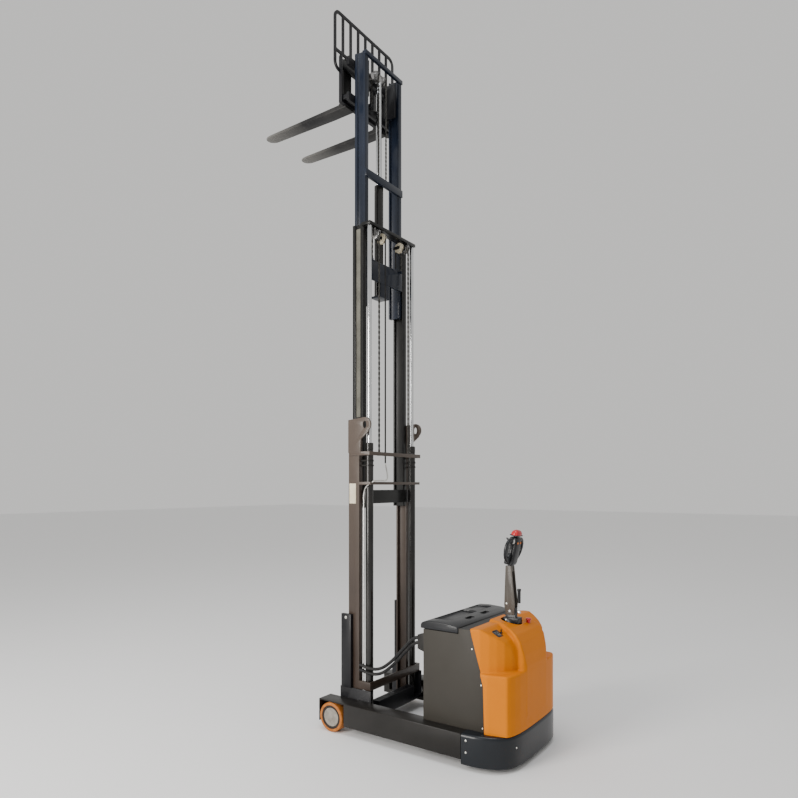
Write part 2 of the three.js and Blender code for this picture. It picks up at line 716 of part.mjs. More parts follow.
piece("free_lift_tube", freeTube, mouldedBlack);
const headBase = freeTubeTop + freeLift / 2 + 6;
const freeRod = join(
  rod("z", freeRodRadius, [freeTubeTop - 40, headBase + 1], [0, freeLiftY], 20),
  block(span(24), [freeLiftY - 22, freeLiftY + 22], [headBase, headBase + 56]),
  rod("x", 9, span(72), [freeLiftY, headBase + 34]),
);
piece("free_lift_rod", freeRod, steel);

// ---- Fork carriage, backrest and forks ----
const forkZ = forkLowered + innerRaised + freeLift;
const barLow = [forkZ + 15, forkZ + 75];
const barHigh = [forkZ + carriageHeight - 60, forkZ + carriageHeight];
const rollerFront = [innerFront - 28, innerFront - 6];
const rollerPlate = [innerOuter - railWidth - 30, innerOuter - railWidth - 18];
const tiltPin = { y: -8, z: barLow[0] + 38, radius: 8 };
const lug = (x, y0, y1) => block([x, x + 18], [y0, y1], [tiltPin.z - 14, tiltPin.z + 14]);
const pinBore = rod("x", tiltPin.radius + gap, span(400), [tiltPin.y, tiltPin.z]);
// The plates and lugs that reach back into the mast stay above its base plate when it is lowered.
const lugY = [rollerFront[1] - 1, rollerFront[1] + 26];
const chainLug = block([32, 64], lugY, [barLow[1] - 12, barLow[1] + 16]);
const tiltX = rollerPlate[0] - 45;
const tiltBarrelRadius = 22;
const tiltBarrelZ = barHigh[0] - 30;
const tiltBracket = block(
  [tiltX + tiltBarrelRadius + gap, rollerPlate[0] + 1],
  [rollerFront[1] + 20, rollerFront[1] + 60],
  [tiltBarrelZ - 15, tiltBarrelZ + 15],
);
const rollerCarriage = cut(
  join(
    block(span(carriageHalf - 10), rollerFront, barLow),
    block(span(carriageHalf - 10), rollerFront, barHigh),
    both(block(rollerPlate, [rollerFront[0], innerRear - 16], [barLow[1] - 5, barHigh[1]])),
    both(lug(carriageHalf - 60, tiltPin.y - 12, rollerFront[0] + 1)),
    both(chainLug),
    tiltBracket,
  ),
  pinBore,
);
piece("roller_carriage", rollerCarriage, frameBlack);

const forkBack = forkFace + 28;
const hookThick = 25;
const endPlate = outline([
  [forkFace, barLow[0]],
  [forkBack, barLow[0]],
  [forkBack, barHigh[1] + 20],
  [forkBack - 8, barHigh[1] + 30],
  [forkFace + 8, barHigh[1] + 30],
  [forkFace, barHigh[1] + 20],
]);
const forkCarriage = join(
  block(span(carriageHalf), [forkFace, forkBack], barLow),
  block(span(carriageHalf), [forkFace, forkBack], barHigh),
  both(slabX(endPlate, [carriageHalf - 12, carriageHalf])),
  both(block([60, 84], [forkFace + 4, forkBack], [barLow[0], barHigh[1]])),
  both(lug(carriageHalf - 84, forkBack - 1, tiltPin.y + 12)),
  both(lug(carriageHalf - 36, forkBack - 1, tiltPin.y + 12)),
  both(rod("x", tiltPin.radius, [carriageHalf - 80, carriageHalf - 20], [tiltPin.y, tiltPin.z])),
);
piece("fork_carriage", forkCarriage, frameBlack);

const tiltBarrel = join(
  rod("y", tiltBarrelRadius, [rollerFront[1] + 4, rollerFront[1] + 84], [tiltX, tiltBarrelZ], 24),
  rod("y", 10, [forkBack + 28, rollerFront[1] + 5], [tiltX, tiltBarrelZ], 16),
);
piece("tilt_cylinder", tiltBarrel, steel);

const bar = 22;
const backHalf = legOuter - 91;
const backTop = forkZ + 690;
const backFoot = forkZ + 240;
const railZ = barHigh[1] + hookThick + 12;
const backY = [forkFace + 3, forkFace + 15];
const roundedFrame = (inset) => {
  const half = backHalf - inset;
  const radius = 60 - inset;
  const shape = new THREE.Shape();
  shape.moveTo(-half, backFoot + inset + radius);
  shape.absarc(-half + radius, backTop - inset - radius, radius, Math.PI, Math.PI / 2, true);
  shape.absarc(half - radius, backTop - inset - radius, radius, Math.PI / 2, 0, true);
  shape.absarc(half - radius, backFoot + inset + radius, radius, 0, -Math.PI / 2, true);
  shape.absarc(-half + radius, backFoot + inset + radius, radius, -Math.PI / 2, -Math.PI, true);
  return shape;
};
const barCount = 9;
const barPitch = (2 * backHalf - bar) / (barCount - 1);
const uprights = Array.from({ length: barCount - 2 }, (_, i) => {
  const x = -backHalf + bar / 2 + barPitch * (i + 1);
  return block([x - bar / 2, x + bar / 2], backY, [railZ + 1, backTop - bar + 1]);
});
const backrest = join(
  cut(
    slabY(roundedFrame(0), backY),
    slabY(roundedFrame(bar), [backY[0] - 1, backY[1] + 1]),
    block(span(carriageHalf + gap), [backY[0] - 1, backY[1] + 1], [backFoot - 1, railZ]),
  ),
  block(span(backHalf - 2), backY, [railZ, railZ + bar]),
  ...uprights,
);
piece("load_backrest", backrest, frameBlack);

const shankFront = forkFace - gap - 40;
const tipY = shankFront - forkLength;
const forkProfile = outline([
  [forkFace - gap, forkZ + forkThick],
  [forkFace - gap, barHigh[1] + gap],
  [forkBack, barHigh[1] + gap],
  [forkBack, barHigh[1] + hookThick],
  [shankFront + 6, barHigh[1] + hookThick],
  [shankFront, barHigh[1] + hookThick - 8],
  [shankFront, forkZ + forkThick + 8],
  [shankFront - 8, forkZ + forkThick],
  [tipY, forkZ + forkThick],
  [tipY, forkZ + forkThick - 10],
  [tipY + 60, forkZ + forkThick - 16],
  [shankFront - 120, forkZ],
  [forkBack - 6, forkZ],
  [forkBack - 6, barLow[0] - gap],
  [forkFace - gap, barLow[0] - gap],
]);
const tipPlan = new THREE.Shape();
tipPlan.moveTo(forkWidth / 2, 0);
tipPlan.lineTo(forkWidth / 2, tipY + 90);
tipPlan.bezierCurveTo(forkWidth / 2, tipY + 30, forkWidth / 3, tipY, 0, tipY);
tipPlan.bezierCurveTo(-forkWidth / 3, tipY, -forkWidth / 2, tipY + 30, -forkWidth / 2, tipY + 90);
tipPlan.lineTo(-forkWidth / 2, 0);
const fork = slabX(forkProfile, span(forkWidth / 2)).intersect(slabZ(tipPlan, [forkZ - 1, forkZ + 1000]));
pair("fork", fork.translate([forkX, 0, 0]), frameBlack);

// ---- Hoses between the body and the mast ----
const hoseRadius = 9;
const hose = (drop) => {
  const route = [
    [bracketX, bodyFront - 79, 742 - drop],
    [bracketX, bodyFront - 90, 742 - drop],
    [bracketX, bodyFront - 104, 739 - drop],
    [bracketX, bodyFront - 140, 716 - drop],
    [bracketX + 1, bodyFront - 220, 636 - drop],
    [bracketX + 1, bodyFront - 300, 554 - drop],
    [bracketX + 2, bodyFront - 380, 492 - drop],
    [bracketX + 2, bodyFront - 450, 466 - drop],
    [bracketX + 2, bodyFront - 520, 464 - drop],
    [bracketX + 1, bodyFront - 560, 471 - drop],
    [bracketX, railRear + 14, 474 - drop],
    [bracketX, railRear + 1, 474 - drop],
  ];
  const extrudePath = new THREE.CatmullRomCurve3(route.map((p) => new THREE.Vector3(...p)));
  const section = new THREE.Shape();
  section.absarc(0, 0, hoseRadius, 0, Math.PI * 2, false);
  const options = { extrudePath, steps: 34, bevelEnabled: false, curveSegments: 5 };
  return solidOf(new THREE.ExtrudeGeometry(section, options));
};
piece("mast_hose_upper", hose(0), rubberBlack);
piece("mast_hose_lower", hose(36), rubberBlack);

// The finished truck is centred fore and aft over its own length.
truck.position.y = -(tipY + skirtRear) / 2;

export default truck;
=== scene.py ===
import math

import bmesh
import bpy
from mathutils import Matrix, Vector


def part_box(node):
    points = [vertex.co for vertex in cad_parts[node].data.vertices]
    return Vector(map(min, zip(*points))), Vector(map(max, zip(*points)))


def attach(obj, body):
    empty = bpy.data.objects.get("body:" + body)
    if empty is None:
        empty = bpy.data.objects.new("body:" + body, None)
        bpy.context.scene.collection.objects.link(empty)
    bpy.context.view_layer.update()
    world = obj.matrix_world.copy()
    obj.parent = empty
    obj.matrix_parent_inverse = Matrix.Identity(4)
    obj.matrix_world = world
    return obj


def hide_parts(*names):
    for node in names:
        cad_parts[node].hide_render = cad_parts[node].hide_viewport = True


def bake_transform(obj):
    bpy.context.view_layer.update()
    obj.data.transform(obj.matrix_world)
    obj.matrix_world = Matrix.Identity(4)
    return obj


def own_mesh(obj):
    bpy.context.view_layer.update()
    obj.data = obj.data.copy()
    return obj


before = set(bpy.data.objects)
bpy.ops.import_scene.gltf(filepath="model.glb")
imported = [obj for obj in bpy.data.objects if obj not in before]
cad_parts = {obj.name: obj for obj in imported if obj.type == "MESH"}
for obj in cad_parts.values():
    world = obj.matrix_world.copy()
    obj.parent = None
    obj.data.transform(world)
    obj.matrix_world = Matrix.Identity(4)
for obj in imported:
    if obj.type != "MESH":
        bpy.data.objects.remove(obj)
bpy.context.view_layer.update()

# ---- Camera ----
# Eye level beside the near rear corner, looking forward along the truck, with the
# view shifted up to take in the raised mast without tilting its uprights.
camera_data = bpy.data.cameras.new("camera")
camera_data.sensor_width = 36
camera_data.lens = 29.17
camera_data.shift_y = 0.108
camera = bpy.data.objects.new("camera", camera_data)
camera.location = (4.016, 2.857, 1.786)
camera.rotation_euler = (math.radians(90), 0, math.radians(125.1))
bpy.context.collection.objects.link(camera)
bpy.context.scene.camera = camera

# ---- Hoses from the body to the mast ----
# Two rubber hydraulic hoses leave the bracket on the body's front, sag between the
# straddle legs and are clamped to the sliding mast.
axle_y = (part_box("load_hub_left")[0].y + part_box("load_hub_left")[1].y) / 2


def surface(name, colours, roughness, grain, bump, patch=3.0, metal=0.0, coat=0.0, rise=None, spec=0.22):
    """A finish that drifts between two colours and two roughnesses, with a fine grain.
    rise is (axis, from, to, colour): the finish turns to that colour along an axis."""
    material = bpy.data.materials.new(name)
    material.use_nodes = True
    nodes, links = material.node_tree.nodes, material.node_tree.links
    shader = nodes["Principled BSDF"]
    shader.inputs["Metallic"].default_value = metal
    shader.inputs["Coat Weight"].default_value = coat
    shader.inputs["Coat Roughness"].default_value = 0.12
    shader.inputs["Specular IOR Level"].default_value = spec
    place = nodes.new("ShaderNodeTexCoord")
    patches = nodes.new("ShaderNodeTexNoise")
    patches.inputs["Scale"].default_value = patch
    patches.inputs["Detail"].default_value = 5
    patches.inputs["Roughness"].default_value = 0.6
    links.new(place.outputs["Object"], patches.inputs["Vector"])
    ramp = nodes.new("ShaderNodeValToRGB")
    ramp.color_ramp.elements[0].position = 0.35
    ramp.color_ramp.elements[0].color = (*colours[0], 1)
    ramp.color_ramp.elements[1].position = 0.68
    ramp.color_ramp.elements[1].color = (*colours[1], 1)
    links.new(patches.outputs["Fac"], ramp.inputs["Fac"])
    tint = ramp.outputs["Color"]
    if rise:
        split = nodes.new("ShaderNodeSeparateXYZ")
        links.new(place.outputs["Object"], split.inputs["Vector"])
        climb = nodes.new("ShaderNodeMapRange")
        climb.inputs["From Min"].default_value = rise[1]
        climb.inputs["From Max"].default_value = rise[2]
        links.new(split.outputs[rise[0]], climb.inputs["Value"])
        blend = nodes.new("ShaderNodeMix")
        blend.data_type = "RGBA"
        links.new(climb.outputs["Result"], blend.inputs["Factor"])
        links.new(tint, blend.inputs["A"])
        blend.inputs["B"].default_value = (*rise[3], 1)
        tint = blend.outputs["Result"]
    links.new(tint, shader.inputs["Base Color"])
    sheen_range = nodes.new("ShaderNodeMapRange")
    sheen_range.inputs["To Min"].default_value = roughness[0]
    sheen_range.inputs["To Max"].default_value = roughness[1]
    links.new(patches.outputs["Fac"], sheen_range.inputs["Value"])
    links.new(sheen_range.outputs["Result"], shader.inputs["Roughness"])
    fine = nodes.new("ShaderNodeTexNoise")
    fine.inputs["Scale"].default_value = grain
    fine.inputs["Detail"].default_value = 3
    links.new(place.outputs["Object"], fine.inputs["Vector"])
    bumps = nodes.new("ShaderNodeBump")
    bumps.inputs["Strength"].default_value = bump
    bumps.inputs["Distance"].default_value = 0.001
    links.new(fine.outputs["Fac"], bumps.inputs["Height"])
    links.new(bumps.outputs["Normal"], shader.inputs["Normal"])
    return material


def piece(name, bm, material, body, replaces=(), sharp=35):
    """Makes the finished mesh an object that rides on a body."""
    mesh = bpy.data.meshes.new(name)
    bm.to_mesh(mesh)
    bm.free()
    return mesh_piece(name, mesh, material, body, replaces, sharp)


def mesh_piece(name, mesh, material, body, replaces=(), sharp=35):
    """Makes a mesh an object that rides on a body, or on none."""
    mesh.shade_smooth()
    mesh.set_sharp_from_angle(angle=math.radians(sharp))
    mesh.materials.clear()
    mesh.materials.append(material)
    thing = bpy.data.objects.new(name, mesh)
    bpy.context.collection.objects.link(thing)
    if body:
        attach(thing, body)
    if replaces:
        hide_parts(*replaces)
    return thing


def smooth_route(points, steps=6):
    """Points on one smooth curve through the given ones."""
    known = [Vector(p) for p in points]
    ends = [known[0] * 2 - known[1], *known, known[-1] * 2 - known[-2]]
    route = [known[0]]
    for a, b, c, d in zip(ends, ends[1:], ends[2:], ends[3:]):
        for i in range(1, steps + 1):
            t = i / steps
            bend = 2 * b + (c - a) * t + (2 * a - 5 * b + 4 * c - d) * t**2
            route.append((bend + (3 * b - a - 3 * c + d) * t**3) / 2)
    return route


def tube_mesh(route, radius, rounds=3, closed=False):
    """A closed round tube along the route, as a mesh."""
    line = bpy.data.curves.new("line", "CURVE")
    line.dimensions = "3D"
    line.bevel_depth = radius
    line.bevel_resolution = rounds
    line.use_fill_caps = True
    spline = line.splines.new("POLY")
    spline.points.add(len(route) - 1)
    for spot, at in zip(spline.points, route):
        spot.co = (*at, 1)
    spline.use_cyclic_u = closed
    holder = bpy.data.objects.new("line", line)
    bpy.context.collection.objects.link(holder)
    seen = holder.evaluated_get(bpy.context.evaluated_depsgraph_get())
    mesh = bpy.data.meshes.new_from_object(seen)
    bpy.data.objects.remove(holder)
    bm = bmesh.new()
    bm.from_mesh(mesh)
    bmesh.ops.remove_doubles(bm, verts=bm.verts, dist=1e-6)
    bmesh.ops.recalc_face_normals(bm, faces=bm.faces)
    bm.to_mesh(mesh)
    bm.free()
    return mesh


def route_length(route):
    """The length along the route's points."""
    return sum((b - a).length for a, b in zip(route, route[1:]))


hose_rubber = surface(
    "hose_rubber", [(0.008, 0.008, 0.009), (0.022, 0.021, 0.02)], (0.35, 0.6), 900, 0.25, 18,
)
hose_radius = 0.0115
hose_points = [
    (0.316, 0.665, 0.742), (0.316, 0.654, 0.742), (0.316, 0.640, 0.739), (0.316, 0.604, 0.716),
    (0.317, 0.524, 0.636), (0.317, 0.444, 0.554), (0.318, 0.364, 0.492), (0.318, 0.294, 0.466),
    (0.318, 0.224, 0.464), (0.317, 0.184, 0.471), (0.316, 0.161, 0.474), (0.316, 0.148, 0.474),
]
for hose_name, drop in (("mast_hose_upper", 0.0), ("mast_hose_lower", 0.036)):
    path = smooth_route([(x, axle_y + y, z - drop) for x, y, z in hose_points])
    hose = mesh_piece(f"{hose_name}_rubber", tube_mesh(path, hose_radius), hose_rubber, None)
    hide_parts(hose_name)
    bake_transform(hose)

# ---- Floor, lights ----
# A pale floor and broad soft lights, the strongest from the truck's near side.
pale = bpy.data.materials.new("pale_floor")
pale.use_nodes = True
pale.node_tree.nodes["Principled BSDF"].inputs["Base Color"].default_value = (0.86, 0.86, 0.86, 1)
pale.node_tree.nodes["Principled BSDF"].inputs["Roughness"].default_value = 0.9
bm = bmesh.new()
bmesh.ops.create_grid(bm, x_segments=1, y_segments=1, size=40)
floor_mesh = bpy.data.meshes.new("floor")
bm.to_mesh(floor_mesh)
bm.free()
floor_mesh.materials.append(pale)
floor = bpy.data.objects.new("floor", floor_mesh)
floor.location.z = -0.001
bpy.context.collection.objects.link(floor)

world = bpy.data.worlds.new("studio")
world.use_nodes = True
world.node_tree.nodes["Background"].inputs["Color"].default_value = (1.0, 0.99, 0.97, 1)
world.node_tree.nodes["Background"].inputs["Strength"].default_value = 0.72
bpy.context.scene.world = world


def soft_light(name, at, towards, width, height, power, colour):
    """A rectangular lamp that faces a point."""
    lamp = bpy.data.lights.new(name, "AREA")
    lamp.shape = "RECTANGLE"
    lamp.size = width
    lamp.size_y = height
    lamp.energy = power
    lamp.color = colour
    holder = bpy.data.objects.new(name, lamp)
    holder.location = at
    holder.rotation_euler = (Vector(towards) - Vector(at)).to_track_quat("-Z", "Y").to_euler()
    bpy.context.collection.objects.link(holder)


soft_light("key", (7.0, -1.6, 3.0), (0, 0, 1.6), 2.5, 5.0, 620, (1.0, 0.97, 0.93))
soft_light("top", (1.5, 0.5, 9.0), (0, 0, 3), 4.0, 4.0, 240, (0.95, 0.97, 1.0))

# ---- Straddle legs ----
# Welded box-section legs, powder-coated satin black, with an inner channel that the
# mast's rollers run in. Their edges are ground slightly round before painting.
paint_black = surface(
    "satin_black_paint", [(0.008, 0.007, 0.006), (0.016, 0.0145, 0.013)], (0.3, 0.46), 420, 0.12, 2.2,
    coat=0.1,
)


def eased(bm, edges, width, segments=2):
    """Rounds the given edges to the width."""
    bmesh.ops.bevel(
        bm, geom=edges, offset=width, segments=segments, profile=0.5, affect="EDGES",
        clamp_overlap=True, material=-1,
    )


def softened(node, width, name, material, body, segments=2, sharp=50):
    """The node's own shape with its outer edges rounded to the width."""
    bm = bmesh.new()
    bm.from_mesh(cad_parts[node].data)
    bmesh.ops.remove_doubles(bm, verts=bm.verts, dist=2e-5)
    bmesh.ops.dissolve_limit(bm, angle_limit=math.radians(0.5), verts=bm.verts, edges=bm.edges)
    edges = [e for e in bm.edges if len(e.link_faces) == 2 and e.calc_face_angle(0) > math.radians(40)]
    eased(bm, edges, width, segments)
    return piece(name, bm, material, body, (node,), sharp)


for side in ("left", "right"):
    softened(f"leg_{side}", 0.004, f"straddle_leg_{side}", paint_black, "chassis")

# ---- Load wheels ----
# A cast hub with a pale cap, and a moulded polyurethane tyre with rounded shoulders,
# one at the front of each leg.
TURNS = {
    "x": Matrix.Rotation(math.radians(90), 4, "Y"),
    "y": Matrix.Rotation(math.radians(-90), 4, "X"),
    "z": Matrix.Identity(4),
}


def turned(bm, axis, at, profile, sides=48):
    """Spins (radius, height) points about the axis through a point. Height runs along the axis."""
    verts = [bm.verts.new((r, 0, h)) for r, h in profile]
    edges = [bm.edges.new(pair) for pair in zip(verts, verts[1:])]
    if profile[0][0] > 1e-6 and profile[-1][0] > 1e-6:
        edges.append(bm.edges.new((verts[-1], verts[0])))
    before = set(bm.verts) - set(verts)
    bmesh.ops.spin(
        bm, geom=verts + edges, cent=(0, 0, 0), axis=(0, 0, 1), angle=2 * math.pi, steps=sides,
        use_merge=True,
    )
    made = [v for v in bm.verts if v not in before]
    bmesh.ops.remove_doubles(bm, verts=made, dist=1e-6)
    made = [v for v in bm.verts if v not in before]
    bmesh.ops.transform(bm, matrix=Matrix.Translation(at) @ TURNS[axis], verts=made)
    faces = list({f for v in made for f in v.link_faces})
    bmesh.ops.recalc_face_normals(bm, faces=faces)
    return made


def rounded(radius, low, high, edge):
    """The (radius, height) outline of a solid disc with rounded rims."""
    lift = edge * 0.293
    return [
        (0, low), (radius - edge, low), (radius - lift, low + lift), (radius, low + edge),
        (radius, high - edge), (radius - lift, high - lift), (radius - edge, high), (0, high),
    ]


polyurethane = surface(
    "orange_polyurethane", [(0.30, 0.095, 0.018), (0.46, 0.16, 0.03)], (0.4, 0.6), 260, 0.12, 30,
)
cast_dark = surface("cast_dark_rim", [(0.016, 0.013, 0.011), (0.04, 0.03, 0.025)], (0.45, 0.65), 380, 0.4, 25)
cap_grey = surface("cap_grey_paint", [(0.20, 0.18, 0.155), (0.29, 0.265, 0.23)], (0.35, 0.55), 300, 0.25, 30)
zinc = surface("bright_zinc", [(0.55, 0.54, 0.50), (0.74, 0.73, 0.70)], (0.2, 0.4), 700, 0.15, 40, metal=0.9)
for side, out in (("left", 1), ("right", -1)):
    tyre_low, tyre_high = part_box(f"load_tyre_{side}")
    wheel_centre = (tyre_low + tyre_high) / 2
    wheel_r = (tyre_high.z - tyre_low.z) / 2
    wheel_half = (tyre_high.x - tyre_low.x) / 2
    band = 0.021
    bm = bmesh.new()
    shoulder = 0.007
    turned(bm, "x", wheel_centre, [
        (wheel_r - band, -wheel_half + 0.003), (wheel_r - band + 0.003, -wheel_half),
        (wheel_r - shoulder, -wheel_half), (wheel_r - 0.002, -wheel_half + 0.003),
        (wheel_r, -wheel_half + shoulder), (wheel_r, wheel_half - shoulder),
        (wheel_r - 0.002, wheel_half - 0.003), (wheel_r - shoulder, wheel_half),
        (wheel_r - band + 0.003, wheel_half), (wheel_r - band, wheel_half - 0.003),
    ], 96)
    piece(
        f"polyurethane_tyre_{side}", bm, polyurethane, f"load_wheel_{side}",
        (f"load_tyre_{side}",),
    )
    bm = bmesh.new()
    rim = wheel_r - band - 0.0003
    face = wheel_half - 0.004
    turned(bm, "x", wheel_centre, [
        (0.0125, -face), (rim, -face), (rim, face), (rim - 0.003, face), (rim - 0.006, face - 0.004),
        (0.068, face - 0.006), (0.062, face - 0.006), (0.060, face - 0.012), (0.0125, face - 0.012),
    ], 72)
    if out < 0:
        bmesh.ops.mirror(bm, geom=bm.verts[:] + bm.edges[:] + bm.faces[:],
                         matrix=Matrix.Translation(-wheel_centre), axis="X", merge_dist=-1)
    piece(f"wheel_rim_{side}", bm, cast_dark, f"load_wheel_{side}", (f"load_hub_{side}",))
    bm = bmesh.new()
    cap = wheel_centre + Vector((out * (face - 0.0115), 0, 0))
    turned(bm, "x", cap, [
        (0, 0), (0.0595, 0), (0.0615, out * 0.002), (0.0665, out * 0.0075), (0.0655, out * 0.0095),
        (0.058, out * 0.0105), (0.054, out * 0.009), (0.022, out * 0.0088), (0.0195, out * 0.0105),
        (0, out * 0.011),
    ], 64)
    piece(f"wheel_cap_{side}", bm, cap_grey, f"load_wheel_{side}")

# ---- Chassis frame and battery ----
# Plate steel welded between the legs, and the traction battery in its tray. Both keep
# their own shape.
chassis_paint = surface(
    "chassis_black_paint", [(0.014, 0.014, 0.014), (0.026, 0.025, 0.024)], (0.4, 0.6), 300, 0.2, 4,
)
battery_case = surface("battery_case", [(0.05, 0.055, 0.06), (0.075, 0.08, 0.085)], (0.5, 0.7), 500, 0.3, 12)


def finish_node(material, *nodes):
    """Gives CAD nodes that stay their own finish."""
    for name in nodes:
        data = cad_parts[name].data
        data.materials.clear()
        data.materials.append(material)


finish_node(chassis_paint, "chassis_frame")
finish_node(battery_case, "battery")

# ---- Side panels ----
# Folded sheet-steel panels with a fine-textured dark grey powder coat, held along the
# rear edge by pan-head screws.
panel_coat = surface(
    "dark_grey_powder_coat", [(0.030, 0.027, 0.022), (0.040, 0.036, 0.030)], (0.42, 0.55), 1500, 0.3, 1.6,
)
for side in ("left", "right"):
    softened(f"side_panel_{side}", 0.0008, f"steel_panel_{side}", panel_coat, "chassis")
softened("front_panel", 0.001, "steel_front_panel", panel_coat, "chassis")


def screw(bm, at, out, radius):
    """A pan-head screw whose head stands out along an axis: (name of the axis, +1 or -1)."""
    axis, way = out
    turned(bm, axis, at, [
        (0, 0), (radius, 0), (radius, way * radius * 0.25), (radius * 0.8, way * radius * 0.52),
        (radius * 0.42, way * radius * 0.62), (radius * 0.36, way * radius * 0.3), (0, way * radius * 0.3),
    ], 20)


def bolt(bm, at, out, radius):
    """A hexagon-head bolt on a washer, standing out along an axis."""
    axis, way = out
    turned(bm, axis, at, [
        (0, 0), (radius * 1.35, 0), (radius * 1.35, way * radius * 0.25),
        (radius * 0.9, way * radius * 0.25), (0, way * radius * 0.25),
    ], 24)
    turned(bm, axis, at, [
        (0, way * radius * 0.2), (radius, way * radius * 0.2), (radius, way * radius * 0.85),
        (radius * 0.85, way * radius * 0.98), (0, way * radius),
    ], 6)


panel_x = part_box("side_panel_left")[1].x
bm = bmesh.new()
for side in (1, -1):
    for y, z in ((1.112, 0.742), (1.178, 0.522), (1.187, 0.252)):
        screw(bm, (side * panel_x, axle_y + y, z), ("x", side), 0.0055)
piece("panel_screws", bm, zinc, "chassis")

# ---- Hose bracket ----
# A folded bracket with a gland box that the mast's hoses leave. Four hexagon bolts hold
# it to the body.
def bar(bm, low, high, edge=0.002, segments=2):
    """A straight bar between two corners, with rounded edges."""
    low, high = Vector(low), Vector(high)
    place = Matrix.Translation((low + high) / 2) @ Matrix.Diagonal((*(high - low), 1))
    made = bmesh.ops.create_cube(bm, size=1, matrix=place)["verts"]
    if edge:
        eased(bm, list({e for v in made for e in v.link_edges}), edge, segments)


def plate(bm, axis, outline, start, end, edge=0.001, segments=2):
    """A flat outline made thick along an axis, with its rims rounded.
    The outline's points are the other two coordinates, in X, Y, Z order."""
    spot = {
        "x": lambda u, v: (start, u, v),
        "y": lambda u, v: (u, start, v),
        "z": lambda u, v: (u, v, start),
    }[axis]
    base = bm.faces.new([bm.verts.new(spot(u, v)) for u, v in outline])
    grown = bmesh.ops.extrude_face_region(bm, geom=[base], use_keep_orig=True)
    moved = [g for g in grown["geom"] if isinstance(g, bmesh.types.BMVert)]
    step = {"x": (end - start, 0, 0), "y": (0, end - start, 0), "z": (0, 0, end - start)}[axis]
    bmesh.ops.translate(bm, verts=moved, vec=step)
    made = moved + list(base.verts)
    faces = list({f for v in made for f in v.link_faces})
    bmesh.ops.recalc_face_normals(bm, faces=faces)
    if edge:
        corners = {e for v in made for e in v.link_edges if e.calc_face_angle(0) > math.radians(28)}
        eased(bm, list(corners), edge, segments)


def mirrored(outline):
    """The outline of a shape that is the same on both sides, from its +u half."""
    return [*outline, *[(-u, v) for u, v in reversed(outline)]]


bracket_low, bracket_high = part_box("hose_bracket")
bracket_x = (bracket_low.x + bracket_high.x) / 2
bm = bmesh.new()
bar(bm, (bracket_low.x, bracket_high.y - 0.006, bracket_low.z), bracket_high, 0.0015)
plate(bm, "x", [
    (bracket_high.y - 0.004, bracket_low.z + 0.01), (bracket_low.y, 0.672), (bracket_low.y, 0.768),
    (bracket_high.y - 0.004, bracket_high.z - 0.01),
], bracket_x - 0.022, bracket_x + 0.022, 0.003)
for side in (-1, 1):
    for z in (bracket_low.z + 0.014, bracket_high.z - 0.014):
        bolt(bm, (bracket_x + side * 0.022, bracket_high.y - 0.0062, z), ("y", -1), 0.0055)
piece("hose_bracket_box", bm, paint_black, "chassis", ("hose_bracket",))
bm = bmesh.new()
for z in (0.742, 0.706):
    turned(bm, "y", (bracket_x, bracket_low.y, z), [
        (0.0093, 0.004), (0.0155, 0.004), (0.0155, -0.001), (0.0125, -0.004), (0.0093, -0.004),
    ], 6)
piece("hose_unions", bm, zinc, "chassis")

# ---- Battery lid ----
# One black moulding, crowned towards its front, with two document trays and two grips
# let into it.
moulded = surface(
    "black_moulding", [(0.007, 0.0075, 0.009), (0.014, 0.015, 0.017)], (0.3, 0.44), 900, 0.2, 3, coat=0.15,
)


def shape_only(bm):
    """A bare object, for cutting or joining."""
    mesh = bpy.data.meshes.new("shape")
    bm.to_mesh(mesh)
    bm.free()
    thing = bpy.data.objects.new("shape", mesh)
    bpy.context.collection.objects.link(thing)
    return thing


def block(low, high, edge=0.0, segments=2):
    """A bare bar between two corners."""
    bm = bmesh.new()
    bar(bm, low, high, edge, segments)
    return shape_only(bm)


def settled(thing):
    """Keeps the outcome of the shape's modifiers as its mesh."""
    seen = thing.evaluated_get(bpy.context.evaluated_depsgraph_get())
    mesh = bpy.data.meshes.new_from_object(seen)
    thing.modifiers.clear()
    thing.data = mesh


def combined(thing, others, operation):
    """Cuts the other shapes out of a shape, joins them to it, or keeps what they share."""
    for other in others:
        join = thing.modifiers.new("join", "BOOLEAN")
        join.operation = operation
        join.solver = "EXACT"
        join.object = other
    settled(thing)
    for other in others:
        bpy.data.objects.remove(other)


def mesh_of(thing):
    """A shape's mesh, without the object that held it."""
    mesh = thing.data
    bpy.data.objects.remove(thing)
    return mesh


lid_low, lid_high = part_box("battery_lid")
lid_front, lid_rear = lid_low.y, lid_high.y
crown = lid_high.z
bm = bmesh.new()
plate(bm, "x", [
    (lid_front, lid_low.z), (lid_rear, lid_low.z), (lid_rear, lid_low.z + 0.034),
    (lid_rear - 0.02, lid_low.z + 0.043), (lid_rear - 0.07, crown - 0.006), (lid_front + 0.12, crown),
    (lid_front + 0.045, crown - 0.004), (lid_front + 0.012, crown - 0.016), (lid_front, crown - 0.03),
], lid_low.x, lid_high.x, 0.006, 3)
lid_shape = shape_only(bm)
cutters = []
for low, high, depth, edge in (
    ((-0.10, 0.05), (0.30, 0.17), 0.016, 0.012),
    ((-0.33, 0.05), (-0.16, 0.17), 0.012, 0.012),
    ((0.06, 0.205), (0.16, 0.24), 0.022, 0.010),
    ((-0.16, 0.205), (-0.06, 0.24), 0.022, 0.010),
):
    recess_low = (low[0], lid_front + low[1], crown - depth)
    recess_high = (high[0], lid_front + high[1], crown + 0.03)
    cutters.append(block(recess_low, recess_high, edge, 3))
hollow_low = (lid_low.x + 0.005, lid_front + 0.006, lid_low.z - 0.01)
hollow_high = (lid_high.x - 0.005, lid_rear - 0.005, lid_low.z + 0.024)
cutters.append(block(hollow_low, hollow_high))
combined(lid_shape, cutters, "DIFFERENCE")
